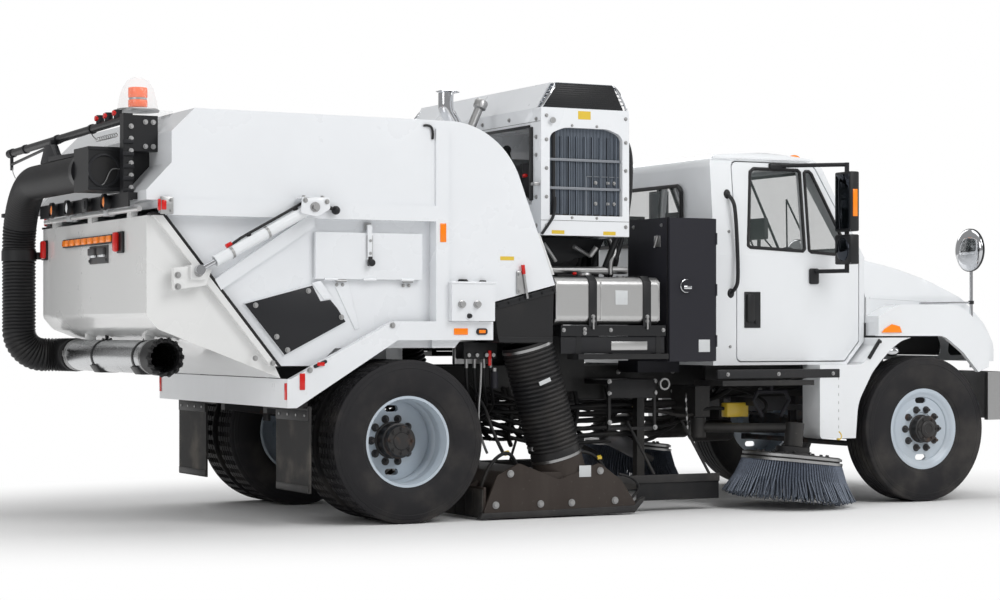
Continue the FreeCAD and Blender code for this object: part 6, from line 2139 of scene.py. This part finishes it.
@dataclass
class Studio:
    """Pale floor, soft lamps and the camera."""

    lens: float = 82.4
    eye: Point = (-7.6955, -14.3817, 1.2285)
    aim: Point = (0.4614, 0.8872, 0.0)
    rise: float = 0.031
    floor: float = 60.0

    def build(self) -> None:
        """Set up the view, the world, the floor and the lamps."""
        bpy.context.scene.view_settings.view_transform = "Standard"
        self._camera()
        self._world()
        self._floor()
        for lamp in (("key", (3.0, -11.0, 9.5), 7.0, 760.0), ("tail", (-13.0, -6.0, 7.0), 6.0, 360.0),
                     ("top", (0.0, 1.0, 12.0), 10.0, 520.0), ("far", (4.0, 12.0, 8.0), 7.0, 330.0),
                     ("nose", (13.0, -3.0, 6.0), 6.0, 240.0)):
            self._lamp(*lamp)

    def _camera(self) -> None:
        """Add the camera, level and looking along the aim."""
        data = bpy.data.cameras.new("view")
        data.lens = self.lens
        data.shift_y = self.rise
        data.clip_end = 200.0
        camera = bpy.data.objects.new("view", data)
        bpy.context.scene.collection.objects.link(camera)
        camera.location = self.eye
        camera.rotation_euler = Vector(self.aim).to_track_quat("-Z", "Y").to_euler()
        bpy.context.scene.camera = camera

    @staticmethod
    def _world() -> None:
        """Give an even pale sky that the camera and reflections see as white."""
        world = bpy.data.worlds.new("sky")
        bpy.context.scene.world = world
        world.use_nodes = True
        tree = world.node_tree
        shade = tree.nodes["Background"]
        path = tree.nodes.new("ShaderNodeLightPath")
        level = tree.nodes.new("ShaderNodeMapRange")
        level.inputs["To Min"].default_value = 0.4
        level.inputs["To Max"].default_value = 1.0
        tree.links.new(path.outputs["Is Camera Ray"], level.inputs["Value"])
        tree.links.new(level.outputs["Result"], shade.inputs["Strength"])
        shade.inputs["Color"].default_value = (1.0, 1.0, 1.0, 1.0)

    def _floor(self) -> None:
        """Add a floor that takes the shadow near the truck and fades to white beyond."""
        shape = bmesh.new()
        bmesh.ops.create_grid(shape, x_segments=1, y_segments=1, size=self.floor)
        data = bpy.data.meshes.new("floor")
        shape.to_mesh(data)
        shape.free()
        ground = bpy.data.objects.new("floor", data)
        bpy.context.scene.collection.objects.link(ground)
        graph = Graph("floor")
        flat = graph.node("ShaderNodeMapping", {}, {"Vector": graph.place(), "Scale": (0.8, 1.3, 0.0)})
        reach = graph.node("ShaderNodeVectorMath", {"operation": "LENGTH"}, {0: flat}, "Value")
        near = graph.node("ShaderNodeBsdfDiffuse", {}, {"Color": (0.82, 0.82, 0.82)})
        far = graph.node("ShaderNodeEmission", {}, {"Color": (1.0, 1.0, 1.0), "Strength": 1.0})
        graph.end(graph.node("ShaderNodeMixShader", {}, {0: reach.smooth(2.9, 5.2), 1: near, 2: far}))
        data.materials.append(graph.material)

    @staticmethod
    def _lamp(name: str, where: Point, size: float, power: float) -> None:
        """Add one large square lamp that faces the truck's middle.

        Args:
            name: the lamp's name.
            where: where it hangs, in metres.
            size: the length of its side, in metres.
            power: its power, in watts.
        """
        data = bpy.data.lights.new(name, "AREA")
        data.size = size
        data.energy = power
        lamp = bpy.data.objects.new(name, data)
        bpy.context.scene.collection.objects.link(lamp)
        lamp.location = where
        lamp.rotation_euler = (Vector((0.0, 0.0, 1.1)) - Vector(where)).to_track_quat("-Z", "Y").to_euler()


def dress_solids() -> None:
    """Give every solid its finish."""
    for name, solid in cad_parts.items():
        solid.data.materials.clear()
        solid.data.materials.append(NODE_PAINT[name].material())


ASSEMBLIES: Tuple = (RoadWheels(), SweepGear(), Tail(), Hopper(), EngineHousing(), Midship(), Cab(), Front(),
                     RunningGear())


def main() -> None:
    """Build the stage, the finishes and every sub-assembly."""
    logging.basicConfig(level=logging.INFO, format="%(message)s")
    Studio().build()
    dress_solids()
    for assembly in ASSEMBLIES:
        LOG.info("%s", type(assembly).__name__)
        assembly.build()


if __name__ == "__main__":
    main()
